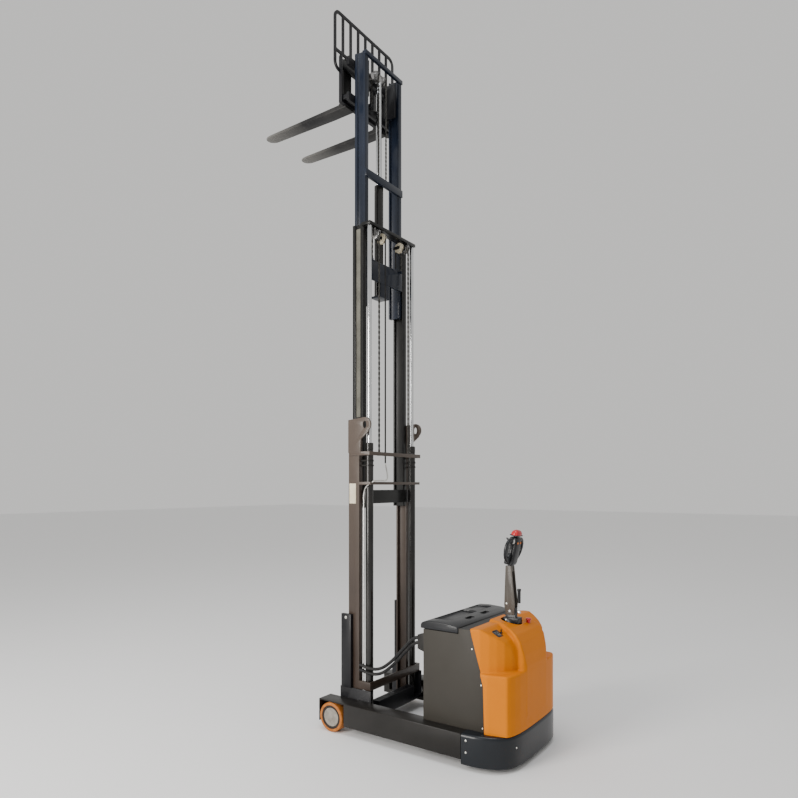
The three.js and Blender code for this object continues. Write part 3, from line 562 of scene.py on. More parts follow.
mesh_piece("lid_moulding", mesh_of(lid_shape), moulded, "lid", ("battery_lid",), 28)

# ---- Rear cover ----
# One orange moulding: a body with rounded corners up to a ledge, two sloping shoulders
# above it and a raised spine that widens rearwards, scooped where they meet.
cover_orange = surface(
    "orange_moulding", [(0.56, 0.158, 0.0), (0.62, 0.178, 0.0)], (0.36, 0.48), 700, 0.08, 2.0, spec=0.08,
)


def prism(axis, outline, start, end):
    """A bare outline, made thick along an axis."""
    bm = bmesh.new()
    plate(bm, axis, outline, start, end, 0)
    return shape_only(bm)


def disc(axis, at, radius, half, sides):
    """A bare disc centred on a point."""
    bm = bmesh.new()
    turned(bm, axis, at, [(0, -half), (radius, -half), (radius, half), (0, half)], sides)
    return shape_only(bm)


def placed(outline):
    """An outline given from the load wheels' axle, moved to the object's own place."""
    return [(axle_y + y, z) for y, z in outline]


def plan(half):
    """A plan outline from its +X half, given from the load wheels' axle."""
    return mirrored([(x, axle_y + y) for x, y in half])


def softened_edges(thing, width, above, segments=4):
    """Rounds the sharp edges of a shape that lie above a height."""
    bm = bmesh.new()
    bm.from_mesh(thing.data)
    bmesh.ops.remove_doubles(bm, verts=bm.verts, dist=1e-5)
    bmesh.ops.dissolve_limit(bm, angle_limit=math.radians(0.5), verts=bm.verts, edges=bm.edges)
    edges = [
        e for e in bm.edges
        if len(e.link_faces) == 2 and e.calc_face_angle(0) > math.radians(35)
        and min(v.co.z for v in e.verts) > above
    ]
    eased(bm, edges, width, segments)
    bm.to_mesh(thing.data)
    bm.free()


cover_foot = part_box("rear_cover")[0].z
ledge_z = 0.600
lower = prism("z", plan([
    (0.383, 1.05), (0.383, 1.094), (0.394, 1.16), (0.401, 1.225), (0.370, 1.350), (0.345, 1.363),
    (0.305, 1.375), (0.25, 1.384), (0.17, 1.389), (0.08, 1.391),
]), cover_foot - 0.03, ledge_z)
softened_edges(lower, 0.008, ledge_z - 0.01)
shoulders = prism("x", placed([
    (1.04, 0.55), (1.338, 0.55), (1.336, 0.68), (1.325, 0.75), (1.302, 0.792), (1.262, 0.822),
    (1.19, 0.862), (1.172, 0.871), (1.14, 0.873), (1.04, 0.862),
]), -0.383, 0.383)
combined(shoulders, [prism("z", plan([
    (0.383, 1.0), (0.383, 1.165), (0.364, 1.222), (0.336, 1.264), (0.30, 1.30), (0.25, 1.328),
    (0.17, 1.352),
]), 0.50, 0.95)], "INTERSECT")
softened_edges(shoulders, 0.016, 0.70)
spine = prism("x", placed([
    (1.04, 0.30), (1.391, 0.30), (1.390, 0.62), (1.380, 0.695), (1.359, 0.775), (1.33, 0.822),
    (1.285, 0.852), (1.22, 0.872), (1.15, 0.882), (1.04, 0.884),
]), -0.25, 0.25)
combined(spine, [prism("z", plan([
    (0.10, 1.0), (0.10, 1.074), (0.118, 1.15), (0.150, 1.21), (0.180, 1.27), (0.198, 1.32),
    (0.197, 1.355), (0.185, 1.375), (0.165, 1.388), (0.14, 1.41),
]), 0.25, 0.95)], "INTERSECT")
softened_edges(spine, 0.012, 0.70)
bm = bmesh.new()
for part in (lower, shoulders, spine):
    bm.from_mesh(mesh_of(part))
cover_shape = shape_only(bm)
remesh = cover_shape.modifiers.new("one_skin", "REMESH")
remesh.mode = "VOXEL"
remesh.voxel_size = 0.006
soften = cover_shape.modifiers.new("soften", "SMOOTH")
soften.factor = 0.5
soften.iterations = 7
settled(cover_shape)
front_cut = prism("x", placed([
    (0.9, 0.1), (1.207, 0.1), (1.207, 0.224), (1.198, 0.52), (1.097, 0.862), (1.097, 0.95), (0.9, 0.95),
]), -0.5, 0.5)
foot_cut = prism("z", plan([(0.6, 0.8), (0.6, 1.6)]), cover_foot - 0.1, cover_foot)
tiller_hole = 0.072
steer_y = axle_y + 1.205
hole_cut = disc("z", (0, steer_y, 0.85), tiller_hole, 0.15, 48)
combined(cover_shape, [front_cut, foot_cut, hole_cut], "DIFFERENCE")
bm = bmesh.new()
bm.from_mesh(cover_shape.data)
open_faces = []
for face in bm.faces:
    centre = face.calc_center_median()
    at_hole = math.hypot(centre.x, centre.y - steer_y) < tiller_hole + 0.0005
    if face.normal.y < -0.90 or face.normal.z < -0.9 or at_hole:
        open_faces.append(face)
bmesh.ops.delete(bm, geom=open_faces, context="FACES")
bm.to_mesh(cover_shape.data)
bm.free()
skin = cover_shape.modifiers.new("skin", "SOLIDIFY")
skin.thickness = 0.004
skin.offset = -1
skin.use_even_offset = False
settled(cover_shape)
mesh_piece(
    "cover_moulding", mesh_of(cover_shape), cover_orange, "chassis", ("rear_cover",), 32,
)

# ---- Base skirt ----
# A black moulded skirt round the drive unit, its upper rim swept over in a wide radius,
# held to the frame by silver screws.
skirt_low, skirt_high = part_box("base_skirt")
bm = bmesh.new()
plate(bm, "z", plan([
    (0.466, 1.078), (0.464, 1.12), (0.459, 1.17), (0.449, 1.22), (0.432, 1.268), (0.409, 1.31),
    (0.378, 1.344), (0.338, 1.368), (0.288, 1.384), (0.23, 1.393), (0.15, 1.398), (0.06, 1.400),
]), skirt_low.z, skirt_high.z, 0)
rim = [
    e for e in bm.edges
    if min(v.co.z for v in e.verts) > skirt_high.z - 1e-4 and max(v.co.y for v in e.verts) > axle_y + 1.079
]
eased(bm, rim, 0.022, 5)
skirt_shape = shape_only(bm)
hollow = prism("z", plan([
    (0.460, 1.06), (0.459, 1.11), (0.454, 1.165), (0.444, 1.216), (0.427, 1.263), (0.404, 1.304),
    (0.374, 1.338), (0.335, 1.362), (0.286, 1.378), (0.229, 1.387), (0.15, 1.392), (0.06, 1.394),
]), skirt_low.z - 0.05, skirt_high.z - 0.024)
throat = prism("z", plan([
    (0.3805, 1.06), (0.3805, 1.12), (0.388, 1.221), (0.357, 1.338), (0.24, 1.372), (0.10, 1.376),
]), skirt_high.z - 0.05, skirt_high.z + 0.05)
combined(skirt_shape, [hollow, throat], "DIFFERENCE")
skirt_black = surface(
    "black_skirt_paint", [(0.004, 0.006, 0.009), (0.009, 0.011, 0.014)], (0.26, 0.38), 600, 0.1, 2, coat=0.25,
)
skirt_mesh = mesh_of(skirt_shape)
mesh_piece("skirt_moulding", skirt_mesh, skirt_black, "chassis", ("base_skirt",), 40)
bm = bmesh.new()
for side in (1, -1):
    for z in (0.186, 0.112):
        screw(bm, (side * 0.4645, axle_y + 1.112, z), ("x", side), 0.0075)
for x in (0.30, -0.30):
    screw(bm, (x, axle_y + 1.381, 0.15), ("y", 1), 0.0065)
piece("skirt_bolts", bm, zinc, "chassis")

# ---- Drive unit, casters and the hidden units ----
# Machined and painted castings behind the skirt and cover. The drive wheel and the two
# casters each have a moulded rubber tread.
cast_grey = surface(
    "cast_grey", [(0.14, 0.14, 0.14), (0.22, 0.215, 0.21)], (0.4, 0.6), 320, 0.35, 9, metal=0.6,
)
motor_black = surface("motor_black", [(0.014, 0.014, 0.015), (0.03, 0.03, 0.03)], (0.4, 0.6), 400, 0.25, 9)
tread_rubber = surface(
    "tread_rubber", [(0.016, 0.015, 0.015), (0.034, 0.032, 0.03)], (0.6, 0.85), 500, 0.4, 20,
)
machined = surface(
    "machined_steel", [(0.30, 0.30, 0.30), (0.46, 0.45, 0.44)], (0.25, 0.42), 800, 0.12, 16, metal=0.95,
)
finish_node(cast_grey, "drive_gearbox", "hydraulic_power_unit", "caster_fork_left", "caster_fork_right")
finish_node(motor_black, "drive_motor", "motor_controller")
finish_node(machined, "reach_cylinder_tube", "tiller_pin")
for name in ("drive_wheel", "caster_wheel_left", "caster_wheel_right"):
    wheel_low, wheel_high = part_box(name)
    middle = (wheel_low + wheel_high) / 2
    wheel_r, half = (wheel_high.z - wheel_low.z) / 2, (wheel_high.x - wheel_low.x) / 2
    hole = 0.0145 if name == "drive_wheel" else 0.0065
    bm = bmesh.new()
    turned(bm, "x", middle, [
        (hole, -half), (wheel_r * 0.72, -half), (wheel_r * 0.75, -half * 0.9), (wheel_r * 0.93, -half),
        (wheel_r, -half * 0.82), (wheel_r, half * 0.82), (wheel_r * 0.93, half), (wheel_r * 0.75, half * 0.9),
        (wheel_r * 0.72, half), (hole, half),
    ], 64)
    piece(f"{name}_tread", bm, tread_rubber, name, (name,))

# ---- Display, key switch and stop button ----
# A small display in a black bezel on the near shoulder, a key switch beside it and a red
# mushroom button on the spine.
screen_grey = surface(
    "display_glass", [(0.035, 0.04, 0.045), (0.06, 0.065, 0.07)], (0.1, 0.16), 60, 0.02, 8, coat=0.6,
)
signal_red = surface(
    "signal_red", [(0.42, 0.012, 0.016), (0.52, 0.02, 0.024)], (0.22, 0.34), 400, 0.06, 8, coat=0.4,
)
slope = Matrix.Rotation(math.radians(-35), 4, "X")
display_at = Matrix.Translation((0.272, axle_y + 1.2365, 0.8335)) @ slope
bm = bmesh.new()
plate(bm, "z", [
    (-0.036, -0.022), (-0.030, -0.031), (0.022, -0.033), (0.034, -0.027), (0.037, 0.020), (0.028, 0.031),
    (-0.026, 0.033), (-0.035, 0.026),
], -0.006, 0.005, 0.0022, 3)
bmesh.ops.transform(bm, matrix=display_at, verts=bm.verts)
piece("display_bezel", bm, moulded, "chassis", ("display_panel",))
bm = bmesh.new()
plate(bm, "z", [(-0.024, -0.019), (0.023, -0.021), (0.025, 0.018), (-0.022, 0.020)], 0.0045, 0.0062, 0.0006)
bmesh.ops.transform(bm, matrix=display_at, verts=bm.verts)
piece("display_glass", bm, screen_grey, "chassis")
key_low, key_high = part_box("ignition_key")
key_x, key_y = (key_low.x + key_high.x) / 2, (key_low.y + key_high.y) / 2
barrel_z, bow_z = 0.838, 0.845
bm = bmesh.new()
turned(bm, "z", (key_x, key_y, 0), [
    (0, key_low.z), (0.009, key_low.z), (0.009, barrel_z), (0.0075, barrel_z + 0.0015),
    (0, barrel_z + 0.0015),
], 32)
bow = mirrored([
    (0.004, barrel_z), (0.0085, bow_z), (0.009, key_high.z - 0.004), (0.005, key_high.z),
])
plate(bm, "y", [(key_x + x, z) for x, z in bow], key_y - 0.0014, key_y + 0.0014, 0.0005)
piece("key", bm, moulded, "key", ("ignition_key",))
stop_low, stop_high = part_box("estop_button")
stop_x, stop_y = (stop_low.x + stop_high.x) / 2, (stop_low.y + stop_high.y) / 2
stop_r = (stop_high.x - stop_low.x) / 2
bm = bmesh.new()
stem_low, stop_top = stop_low.z, stop_high.z
turned(bm, "z", (stop_x, stop_y, 0), [
    (0, stem_low), (0.008, stem_low), (0.008, stop_top - 0.012), (stop_r - 0.003, stop_top - 0.0115),
    (stop_r, stop_top - 0.009), (stop_r - 0.001, stop_top - 0.005), (stop_r * 0.75, stop_top - 0.0015),
    (stop_r * 0.4, stop_top), (0, stop_top),
], 48)
turned(bm, "z", (stop_x, stop_y, 0), [
    (0.012, stem_low + 0.022), (0.0145, stop_top - 0.0185), (0.0145, stop_top - 0.0125),
    (0.0075, stop_top - 0.0125), (0.0075, stem_low + 0.022),
], 32)
piece("stop_mushroom", bm, signal_red, "stop", ("estop_button",))

# ---- Tiller base, arm and gas spring ----
# A pressed-steel arm that tilts on the steering column, with bright bolts at its joints,
# and a gas spring behind it.
arm_paint = surface(
    "arm_paint", [(0.055, 0.048, 0.040), (0.082, 0.071, 0.060)], (0.34, 0.5), 900, 0.2, 5, coat=0.15,
)
softened("tiller_base", 0.003, "steering_column", moulded, "steer", 3)
softened("tiller_arm", 0.0012, "pressed_arm", arm_paint, "tiller")
for name, body, x, z in (("arm_bolts", "tiller", 0.025, 0.986), ("column_bolts", "steer", 0.034, 0.877)):
    bm = bmesh.new()
    for side in (1, -1):
        screw(bm, (side * x, axle_y + 1.181, z), ("x", side), 0.0075)
    piece(name, bm, zinc, body)
chrome = surface(
    "hard_chrome", [(0.60, 0.61, 0.62), (0.72, 0.73, 0.74)], (0.07, 0.16), 900, 0.03, 6, metal=1.0,
)
spring_low, spring_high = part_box("gas_spring_rod")
spring_y = (spring_low.y + spring_high.y) / 2
bm = bmesh.new()
turned(bm, "x", (0, spring_y, spring_low.z + 0.01), rounded(0.010, -0.009, 0.009, 0.0015), 32)
turned(bm, "z", (0, spring_y, 0), [
    (0, spring_low.z + 0.012), (0.005, spring_low.z + 0.012), (0.005, spring_high.z), (0, spring_high.z),
], 24)
piece("spring_rod_chrome", bm, chrome, "spring_rod", ("gas_spring_rod",))
tube_low, tube_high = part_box("gas_spring_tube")
bm = bmesh.new()
turned(bm, "z", (0, spring_y, 0), [
    (0.0053, tube_low.z), (0.0095, tube_low.z), (0.011, tube_low.z + 0.002), (0.011, tube_high.z - 0.02),
    (0.0125, tube_high.z - 0.014), (0.0135, tube_high.z - 0.004), (0.0115, tube_high.z), (0, tube_high.z),
    (0, tube_high.z - 0.010), (0.0053, tube_high.z - 0.011),
], 32)
piece("spring_tube_black", bm, moulded, "spring_tube", ("gas_spring_tube",))

# ---- Tiller head and its controls ----
# A moulded head with a guard loop round each grip, a red belly button on top, pale
# thumb wheels with black wings, and a rocker for lifting.
head_at = Matrix.Translation((0, steer_y - 0.008, 1.2463)) @ Matrix.Rotation(math.radians(-12), 4, "X")
bm = bmesh.new()
plate(bm, "y", mirrored([
    (0.028, 0.004), (0.046, 0.014), (0.080, 0.030), (0.108, 0.052), (0.126, 0.080), (0.135, 0.112),
    (0.132, 0.144), (0.118, 0.170), (0.096, 0.186), (0.070, 0.190), (0.034, 0.190),
]), -0.0098, 0.0098, 0.006, 3)
loops = shape_only(bm)
cutters = []
for side in (1, -1):
    bm = bmesh.new()
    turned(bm, "y", (0, 0, 0), rounded(1, -0.05, 0.05, 0), 40)
    grip_hole = Matrix.Translation((side * 0.079, 0, 0.112)) @ Matrix.Diagonal((0.036, 1, 0.052, 1))
    bmesh.ops.transform(bm, matrix=grip_hole, verts=bm.verts)
    cutters.append(shape_only(bm))
combined(loops, cutters, "DIFFERENCE")
softened_edges(loops, 0.005, -1, 3)
bm = bmesh.new()
plate(bm, "x", [
    (-0.036, 0.002), (0.024, 0.002), (0.031, 0.022), (0.033, 0.10), (0.031, 0.183), (0.022, 0.1962),
    (-0.020, 0.1962), (-0.030, 0.185), (-0.034, 0.135), (-0.038, 0.05),
], -0.036, 0.036, 0.009, 3)
combined(loops, [shape_only(bm)], "UNION")
thumb_x, thumb_z = 0.0435, 0.168
combined(loops, [
    block((-0.0152, -0.05, 0.0915), (0.0152, -0.017, 0.1325)),
    disc("x", (thumb_x, 0, thumb_z), 0.0197, 0.0077, 40),
    disc("x", (-thumb_x, 0, thumb_z), 0.0197, 0.0077, 40),
    disc("x", (0, 0, thumb_z), 0.009, 0.06, 32),
], "DIFFERENCE")
head_mesh = mesh_of(loops)
head_mesh.transform(head_at)
bm = bmesh.new()
bm.from_mesh(head_mesh)
bmesh.ops.bisect_plane(
    bm, geom=bm.verts[:] + bm.edges[:] + bm.faces[:], plane_co=(0, 0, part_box("tiller_head")[0].z),
    plane_no=(0, 0, -1), clear_outer=True,
)
bmesh.ops.holes_fill(bm, edges=[e for e in bm.edges if e.is_boundary])
piece("head_moulding", bm, moulded, "tiller", ("tiller_head",), 40)


def head_piece(name, bm, material, body, replaces=(), sharp=35):
    """A piece made in the head's own place, moved to where the head leans."""
    bmesh.ops.transform(bm, matrix=head_at, verts=bm.verts)
    piece(name, bm, material, body, replaces, sharp)


bm = bmesh.new()
turned(bm, "z", (0, 0, 0), [
    (0, 0), (0.97, 0), (1.0, 0.003), (0.985, 0.010), (0.93, 0.018), (0.82, 0.026), (0.64, 0.032),
    (0.40, 0.036), (0.2, 0.0372), (0, 0.0377),
], 48)
for vert in bm.verts:
    wide = max(abs(vert.co.x), abs(vert.co.y), 1e-9)
    reach = math.hypot(vert.co.x, vert.co.y)
    square = 1 + 0.45 * (reach / wide - 1)
    vert.co = (vert.co.x * square * 0.0455, vert.co.y * square * 0.0275 + 0.0015, vert.co.z + 0.2080)
head_piece("belly_cap", bm, signal_red, "belly", ("belly_button",), 50)
bm = bmesh.new()
bar(bm, (-0.0455, -0.027, 0.2037), (0.0455, 0.030, 0.2120), 0.0035, 3)
head_piece("belly_rim", bm, moulded, "belly")
pale_grey = surface("pale_thumb_wheel", [(0.50, 0.50, 0.48), (0.62, 0.62, 0.60)], (0.35, 0.5), 500, 0.1, 12)
bm = bmesh.new()
turned(bm, "x", (0, 0, thumb_z), [(0, -0.05), (0.008, -0.05), (0.008, 0.05), (0, 0.05)], 24)
for side in (1, -1):
    turned(bm, "x", (side * thumb_x, 0, thumb_z), [
        (0, -0.0068), (0.0172, -0.0068), (0.0188, -0.005), (0.0188, 0.005), (0.0172, 0.0068), (0, 0.0068),
    ], 40)
head_piece("thumb_wheels", bm, pale_grey, "throttle", ("throttle",))
bm = bmesh.new()
for side in (1, -1):
    plate(bm, "x", [
        (-0.016, 0.160), (-0.030, 0.163), (-0.047, 0.178), (-0.044, 0.184), (-0.028, 0.179), (-0.014, 0.177),
    ], side * thumb_x - 0.0062, side * thumb_x + 0.0062, 0.0018)
head_piece("thumb_wings", bm, moulded, "throttle")
bm = bmesh.new()
bar(bm, (-0.014, -0.0365, 0.094), (0.014, -0.0215, 0.130), 0.003, 3)
head_piece("rocker_cap", bm, signal_red, "rocker", ("lift_rocker",))
amber = surface("amber_button", [(0.60, 0.16, 0.03), (0.70, 0.22, 0.04)], (0.3, 0.4), 300, 0.05, 10)
bm = bmesh.new()
for x in (0.020, -0.020):
    turned(bm, "y", (x, 0.0315, 0.160), [
        (0, 0), (0.0075, 0), (0.0075, 0.0025), (0.005, 0.004), (0, 0.0045),
    ], 24)
head_piece("grip_buttons", bm, amber, "tiller")

# ---- Reach carriage ----
# The welded carriage that slides between the legs on rollers and carries the mast, with
# a ribbed step plate at its rear and its rail posts bolted to the side plates.
carriage_black = surface(
    "carriage_black_paint", [(0.005, 0.005, 0.007), (0.011, 0.011, 0.012)], (0.32, 0.5), 360, 0.2, 4,
    coat=0.1,
)
softened("reach_carriage", 0.0025, "mast_carriage", carriage_black, "mast")
bm = bmesh.new()
for i in range(9):
    y = axle_y + 0.202 + i * 0.0065
    for x in (-0.165, -0.055, 0.055, 0.165):
        bar(bm, (x - 0.045, y, 0.2045), (x + 0.045, y + 0.003, 0.2065), 0)
piece("step_ribs", bm, carriage_black, "mast")
bm = bmesh.new()
for side in (1, -1):
    bolt(bm, (side * 0.350, axle_y + 0.045, 0.815), ("x", side), 0.008)
piece("post_bolts", bm, zinc, "mast")
bm = bmesh.new()
for side in (1, -1):
    for y in (0.020, 0.212):
        turned(bm, "x", (side * 0.3525, axle_y + y, 0.142), [
            (0, -0.0135), (0.046, -0.0135), (0.0515, -0.010), (0.0515, 0.010), (0.046, 0.0135), (0, 0.0135),
        ], 40)
piece("reach_rollers", bm, machined, "mast")
bm = bmesh.new()
rod_low, rod_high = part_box("reach_cylinder_rod")
rod_x, rod_z = (rod_low.x + rod_high.x) / 2, (rod_low.z + rod_high.z) / 2
turned(bm, "y", (rod_x, 0, rod_z), rounded((rod_high.z - rod_low.z) / 2, rod_low.y, rod_high.y, 0.002), 40)
piece("reach_rod_chrome", bm, chrome, "mast", ("reach_cylinder_rod",))

# ---- Outer mast ----
# Rolled channel uprights joined by tie bars, with an eye plate at the top of each and
# pressed brackets that clamp the lift cylinders. The paint's warm brown tone and its
# lightening towards the top are painted light: the lit near side and the light falling
# on the upper mast.
mast_paint_painted_light = surface(
    "mast_paint_painted_light", [(0.020, 0.0135, 0.010), (0.048, 0.033, 0.025)], (0.28, 0.44), 300, 0.15, 1.4, coat=0.12,
    rise=("Z", 0.5, 2.3, (0.085, 0.066, 0.054)),
)
softened("outer_mast", 0.0022, "outer_mast_frame", mast_paint_painted_light, "mast")
cylinder_x, cylinder_y, cylinder_r = 0.275, axle_y + 0.205, 0.029
gloss_black = surface(
    "gloss_black_tube", [(0.008, 0.008, 0.008), (0.02, 0.018, 0.016)], (0.16, 0.28), 500, 0.06, 3, coat=0.4,
)
for side, sign in (("left", 1), ("right", -1)):
    low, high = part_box(f"lift_cylinder_{side}")
    bm = bmesh.new()
    turned(bm, "z", (sign * cylinder_x, cylinder_y, 0), [
        (0.0163, low.z + 0.02), (0, low.z + 0.02), (0, low.z), (0.024, low.z),
        (cylinder_r, low.z + 0.004), (cylinder_r, high.z - 0.06), (cylinder_r - 0.0015, high.z - 0.058),
        (cylinder_r - 0.0015, high.z - 0.05), (cylinder_r, high.z - 0.048), (cylinder_r, high.z - 0.004),
        (cylinder_r - 0.004, high.z), (0.0163, high.z),
    ], 48)
    piece(f"lift_tube_{side}", bm, gloss_black, "mast", (f"lift_cylinder_{side}",))
ring_in, ring_out, ring_half = cylinder_r + 0.0004, cylinder_r + 0.004, 0.006
bm = bmesh.new()
for sign in (1, -1):
    arm_x = sign * 0.303
    for z in (1.930, 1.965):
        turned(bm, "z", (sign * cylinder_x, cylinder_y, z), [
            (ring_in, -ring_half), (ring_out, -ring_half), (ring_out, ring_half), (ring_in, ring_half),
        ], 40)
        arm_low = (arm_x - 0.004, cylinder_y - 0.061, z - ring_half)
        arm_high = (arm_x + 0.004, cylinder_y + 0.006, z + ring_half)
        bar(bm, arm_low, arm_high, 0.0008, 1)
piece("cylinder_clamps", bm, paint_black, "mast")
cream = surface("cream_nylon", [(0.60, 0.53, 0.38), (0.72, 0.65, 0.50)], (0.38, 0.55), 350, 0.1, 12)
bm = bmesh.new()
bar(bm, (0.3242, axle_y + 0.058, 1.652), (0.3265, axle_y + 0.118, 1.798), 0.0008, 1)
piece("blank_plate", bm, cream, "mast")
zinc_pipe = [
    (0.298, 0.170, 0.32), (0.298, 0.170, 0.60), (0.298, 0.170, 1.10), (0.298, 0.170, 1.60),
    (0.301, 0.173, 1.72), (0.312, 0.205, 1.775), (0.303, 0.247, 1.806), (0.270, 0.258, 1.818),
    (0.20, 0.257, 1.820), (0.145, 0.257, 1.822), (0.121, 0.256, 1.845), (0.116, 0.242, 1.905),
    (0.115, 0.231, 1.945),
]
pipe_route = smooth_route([(x, axle_y + y, z) for x, y, z in zinc_pipe])
mesh_piece("pressure_pipe", tube_mesh(pipe_route, 0.005), zinc, "mast")

# ---- Lift rods and chain sheaves ----
# Hard-chromed rods up to the middle stage, each beside a flanged sheave that the lift
# chain turns over.
for side, sign in (("left", 1), ("right", -1)):
    low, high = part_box(f"lift_rod_{side}")
    bm = bmesh.new()
    turned(bm, "z", (sign * cylinder_x, cylinder_y, 0), rounded(0.016, low.z, high.z, 0.0015), 40)
    piece(f"lift_rod_chrome_{side}", bm, chrome, "middle", (f"lift_rod_{side}",))
    low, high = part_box(f"chain_sheave_{side}")
    middle = (low + high) / 2
    groove_r, rim_r, half = 0.0273, (high.z - low.z) / 2, (high.x - low.x) / 2
    bm = bmesh.new()
    turned(bm, "x", middle, [
        (0.0105, -half), (0.018, -half), (0.020, -half + 0.002), (rim_r - 0.002, -half + 0.001),
        (rim_r, -half + 0.002), (rim_r - 0.001, -0.0088), (groove_r, -0.0085), (groove_r, 0.0085),
        (rim_r - 0.001, 0.0088), (rim_r, half - 0.002), (rim_r - 0.002, half - 0.001),
        (0.020, half - 0.002), (0.018, half), (0.0105, half),
    ], 48)
    piece(f"sheave_{side}", bm, machined, f"sheave_{side}", (f"chain_sheave_{side}",))

# ---- Middle mast ----
# The rails are satin black, and each web carries a paler olive-grey strip: a painted
# highlight, where the recessed web catches the light.
stage_paint = surface(
    "stage_paint", [(0.006, 0.006, 0.006), (0.012, 0.012, 0.011)], (0.24, 0.42), 260, 0.15, 1.8, coat=0.15,
)
softened("middle_mast", 0.002, "middle_mast_frame", stage_paint, "middle")
# A paler olive grey, painted as the light that the recessed webs catch.
web_painted_light = surface(
    "web_painted_highlight", [(0.085, 0.082, 0.068), (0.15, 0.145, 0.12)], (0.35, 0.55), 420, 0.25, 5, metal=0.3,
)
web_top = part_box("middle_mast")[1].z - 0.03
# The strips on the webs are a painted highlight.
bm = bmesh.new()
for side in (1, -1):
    face = side * 0.270
    bar(bm, (face - 0.0006, axle_y + 0.0785, 2.29), (face + 0.0006, axle_y + 0.1225, web_top), 0)
piece("middle_webs_painted_highlight", bm, web_painted_light, "middle")

# ---- Lift chains ----
# Leaf chains: a run from the outer mast up to each sheave, a half turn over it, and a
# run from the sheave down to the inner stage.
chain_steel = surface(
    "chain_steel", [(0.07, 0.068, 0.062), (0.16, 0.155, 0.145)], (0.3, 0.5), 600, 0.2, 30, metal=0.85,
)


def over_sheave(x, y, z, radius):
    """Points of a half turn over a sheave, from its rear to its front."""
    turns = [math.pi * i / 12 for i in range(13)]
    return [Vector((x, y + radius * math.cos(turn), z + radius * math.sin(turn))) for turn in turns]


def leaf_chain(name, route, pitch, widths, depth, body, replaces=()):
    """Plates and pins along a route in a plane of constant X, as a piece. widths are half widths."""
    plate_thickness, overlap, pin_radius = 0.0024, 1.28, 0.0022
    total = route_length(route)
    count = max(2, round(total / pitch))
    spots, run, i = [route[0]], 0.0, 0
    for k in range(1, count + 1):
        goal = total * k / count
        while i < len(route) - 2 and run + (route[i + 1] - route[i]).length < goal - 1e-9:
            run += (route[i + 1] - route[i]).length
            i += 1
        step = route[i + 1] - route[i]
        spots.append(route[i] + step * min(1, (goal - run) / step.length))
    bm = bmesh.new()
    for k, (a, b) in enumerate(zip(spots, spots[1:])):
        along = b - a
        turn = Matrix.Rotation(math.atan2(-along.y, along.z), 4, "X")
        size = Matrix.Diagonal((plate_thickness, depth, along.length * overlap, 1))
        half = widths[0] if k % 2 else widths[1]
        for way in (1, -1):
            place = Matrix.Translation((a + b) / 2 + Vector((way * half, 0, 0)))
            made = bmesh.ops.create_cube(bm, size=1, matrix=place @ turn @ size)["verts"]
            across = [
                e for e in {e for v in made for e in v.link_edges}
                if abs((e.verts[0].co - e.verts[1].co).normalized().x) > 0.9
            ]
            eased(bm, across, depth * 0.3, 1)
    for spot in spots:
        bmesh.ops.create_cone(
            bm, cap_ends=True, segments=8, radius1=pin_radius, radius2=pin_radius,
            depth=2 * widths[1] + 0.003, matrix=Matrix.Translation(spot) @ TURNS["x"],
        )
    return piece(name, bm, chain_steel, body, replaces)


def shortened(thing):
    """Gives a straight run a mesh of its own."""
    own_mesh(thing)


sheave_y, sheave_z, pitch_r = axle_y + 0.197, 3.6497, 0.0323
stage_yoke_z = 3.4805
lift_widths = (0.0022, 0.0052)
for side, sign in (("left", 1), ("right", -1)):
    x = sign * 0.190
    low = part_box(f"lift_chain_{side}")[0]
    rear_run = [Vector((x, sheave_y + pitch_r, z)) for z in (low.z, sheave_z)]
    replaced = (f"lift_chain_{side}",)
    thing = leaf_chain(f"chain_rear_{side}", rear_run, 0.0190, lift_widths, 0.0088, "mast", replaced)
    shortened(thing)
    arc = over_sheave(x, sheave_y, sheave_z, pitch_r)
    leaf_chain(f"chain_over_{side}", arc, 0.0127, lift_widths, 0.0080, "middle")
    front_run = [Vector((x, sheave_y - pitch_r, z)) for z in (sheave_z, stage_yoke_z)]
    thing = leaf_chain(f"chain_front_{side}", front_run, 0.0190, lift_widths, 0.0088, None)
    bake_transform(thing)

# ---- Mast hoses ----
# Two hoses run up the back of the outer mast, over cream nylon sheaves at the top of the
# middle stage and down to the inner stage, moving with the stages as the chains do.
hose_x, hose_sheave_z, hose_sheave_r = 0.115, 3.636, 0.034
rim_r, groove_r = hose_sheave_r + 0.005, hose_sheave_r - 0.006
bm = bmesh.new()
for side in (1, -1):
    turned(bm, "x", (side * hose_x, sheave_y, hose_sheave_z), [
        (0.0, -0.0115), (0.016, -0.0115), (0.018, -0.009), (rim_r - 0.001, -0.009), (rim_r, -0.007),
        (groove_r, 0.0), (rim_r, 0.007), (rim_r - 0.001, 0.009), (0.018, 0.009), (0.016, 0.0115),
        (0.0, 0.0115),
    ], 40)
piece("hose_sheaves", bm, cream, "middle")
bm = bmesh.new()
for side in (1, -1):
    x = side * hose_x
    for ear_x in (x - 0.0165, x + 0.0135):
        ear_low = (ear_x, axle_y + 0.150, hose_sheave_z - 0.012)
        ear_high = (ear_x + 0.003, sheave_y + 0.014, hose_sheave_z + 0.012)
        bar(bm, ear_low, ear_high, 0.001, 1)
    turned(bm, "x", (x, sheave_y, hose_sheave_z), rounded(0.006, -0.02, 0.02, 0.001), 20)
piece("hose_sheave_brackets", bm, paint_black, "middle")
mast_hose_r = 0.006
hose_y_rear = sheave_y + hose_sheave_r
hose_y_front = sheave_y - hose_sheave_r
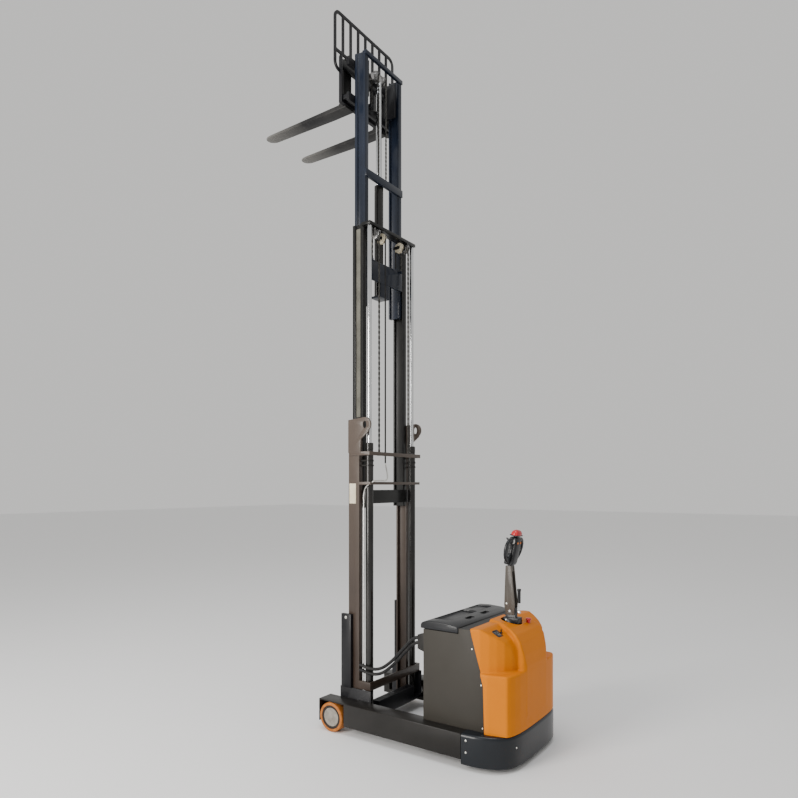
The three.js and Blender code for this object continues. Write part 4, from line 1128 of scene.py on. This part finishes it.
for side, name in ((1, "left"), (-1, "right")):
    x = side * hose_x
    rear = [Vector((x, hose_y_rear, 1.95)), Vector((x, hose_y_rear, hose_sheave_z))]
    tube = tube_mesh(rear, mast_hose_r)
    thing = mesh_piece(f"mast_hose_rear_{name}", tube, hose_rubber, "mast")
    shortened(thing)
    tube = tube_mesh(over_sheave(x, sheave_y, hose_sheave_z, hose_sheave_r), mast_hose_r)
    mesh_piece(f"mast_hose_over_{name}", tube, hose_rubber, "middle")
    drop = hose_sheave_z - stage_yoke_z
    front = [Vector((x, hose_y_front, hose_sheave_z - drop * i / 6)) for i in range(7)]
    tube = tube_mesh(front, mast_hose_r)
    thing = mesh_piece(f"mast_hose_front_{name}", tube, hose_rubber, None)
    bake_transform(thing)

# ---- Inner mast and free lift ----
# The top stage, with the free-lift cylinder standing on it: its chromed rod pushes up a
# head with two small sheaves, and chains over these lift the fork carriage.
# The navy tint of this black is a painted reflection of the sky on the top of the mast.
inner_paint_painted_sky_reflection = surface(
    "inner_paint_painted_sky_reflection", [(0.006, 0.009, 0.017), (0.010, 0.015, 0.028)], (0.24, 0.4), 260, 0.15, 2.0, coat=0.2,
)
softened("inner_mast", 0.002, "inner_mast_frame", inner_paint_painted_sky_reflection, "inner")
tube_low, tube_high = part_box("free_lift_tube")
free_y = (tube_low.y + tube_high.y) / 2
free_r = (tube_high.x - tube_low.x) / 2
bm = bmesh.new()
turned(bm, "z", (0, free_y, 0), [
    (0, tube_low.z), (free_r - 0.004, tube_low.z), (free_r, tube_low.z + 0.004),
    (free_r, tube_high.z - 0.05), (free_r - 0.002, tube_high.z - 0.048),
    (free_r - 0.002, tube_high.z - 0.040), (free_r, tube_high.z - 0.038),
    (free_r, tube_high.z - 0.005), (free_r - 0.005, tube_high.z), (0.0223, tube_high.z),
    (0.0223, tube_low.z + 0.028), (0, tube_low.z + 0.028),
], 48)
piece("free_lift_tube_black", bm, gloss_black, "inner", ("free_lift_tube",))
rod_low, rod_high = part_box("free_lift_rod")
cross_z = 4.9375
head_z = 4.9035
bm = bmesh.new()
turned(bm, "z", (0, free_y, 0), rounded(0.0215, rod_low.z, head_z + 0.001, 0.001), 40)
piece("free_rod_chrome", bm, chrome, "free_rod", ("free_lift_rod",))
bm = bmesh.new()
bar(bm, (-0.024, free_y - 0.0218, head_z), (0.024, free_y + 0.0218, rod_high.z), 0.003)
turned(bm, "x", (0, free_y, cross_z), rounded(0.009, -0.072, 0.072, 0.001), 24)
piece("free_lift_head", bm, machined, "free_rod")
bm = bmesh.new()
free_sheave_r, free_x = 0.029, 0.048
for side in (1, -1):
    turned(bm, "x", (side * free_x, free_y, cross_z), [
        (0.0093, -0.0105), (0.016, -0.0105), (0.018, -0.0085), (free_sheave_r + 0.006, -0.0085),
        (free_sheave_r, -0.0065), (free_sheave_r, 0.0065), (free_sheave_r + 0.006, 0.0085),
        (0.018, 0.0085), (0.016, 0.0105), (0.0093, 0.0105),
    ], 40)
piece("free_lift_sheaves", bm, machined, "free_rod")
free_pitch = free_sheave_r + 0.0045
free_widths = (0.0019, 0.0046)
anchor_z = tube_high.z + 0.037
carriage_hitch = 4.722
for side, sign in (("left", 1), ("right", -1)):
    x = sign * free_x
    rear_run = [Vector((x, free_y + free_pitch, z)) for z in (anchor_z, cross_z)]
    thing = leaf_chain(f"free_chain_rear_{side}", rear_run, 0.0160, free_widths, 0.0078, "inner")
    shortened(thing)
    arc = over_sheave(x, free_y, cross_z, free_pitch)
    leaf_chain(f"free_chain_over_{side}", arc, 0.0120, free_widths, 0.0070, "free_rod")
    top, hitch = [Vector((x, free_y - free_pitch, z)) for z in (cross_z, carriage_hitch)]
    front_run = [top - Vector((0, 0, 0.0024)), hitch]
    thing = leaf_chain(f"free_chain_front_{side}", front_run, 0.0160, free_widths, 0.0078, None)
    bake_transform(thing)

# ---- Fork carriage, tilt head and backrest ----
# A roller carriage inside the top stage, the tilting fork carriage it holds and a welded
# backrest of round-edged bars.
softened("roller_carriage", 0.002, "roller_carriage_frame", carriage_black, "carriage")
softened("fork_carriage", 0.002, "fork_carriage_frame", carriage_black, "tilt")
softened("load_backrest", 0.0022, "backrest_bars", carriage_black, "tilt")
finish_node(machined, "tilt_cylinder")

# ---- Forks ----
# Forged forks with rounded heels, their paint worn to bright steel towards the tips.
for side in ("left", "right"):
    fork_low, fork_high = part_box(f"fork_{side}")
    fork_paint = surface(
        f"worn_fork_paint_{side}", [(0.016, 0.016, 0.017), (0.034, 0.033, 0.032)], (0.3, 0.5), 300, 0.3, 6,
        metal=0.25, rise=("Y", fork_high.y - 0.45, fork_low.y, (0.17, 0.165, 0.155)),
    )
    softened(f"fork_{side}", 0.003, f"forged_fork_{side}", fork_paint, f"fork_{side}")
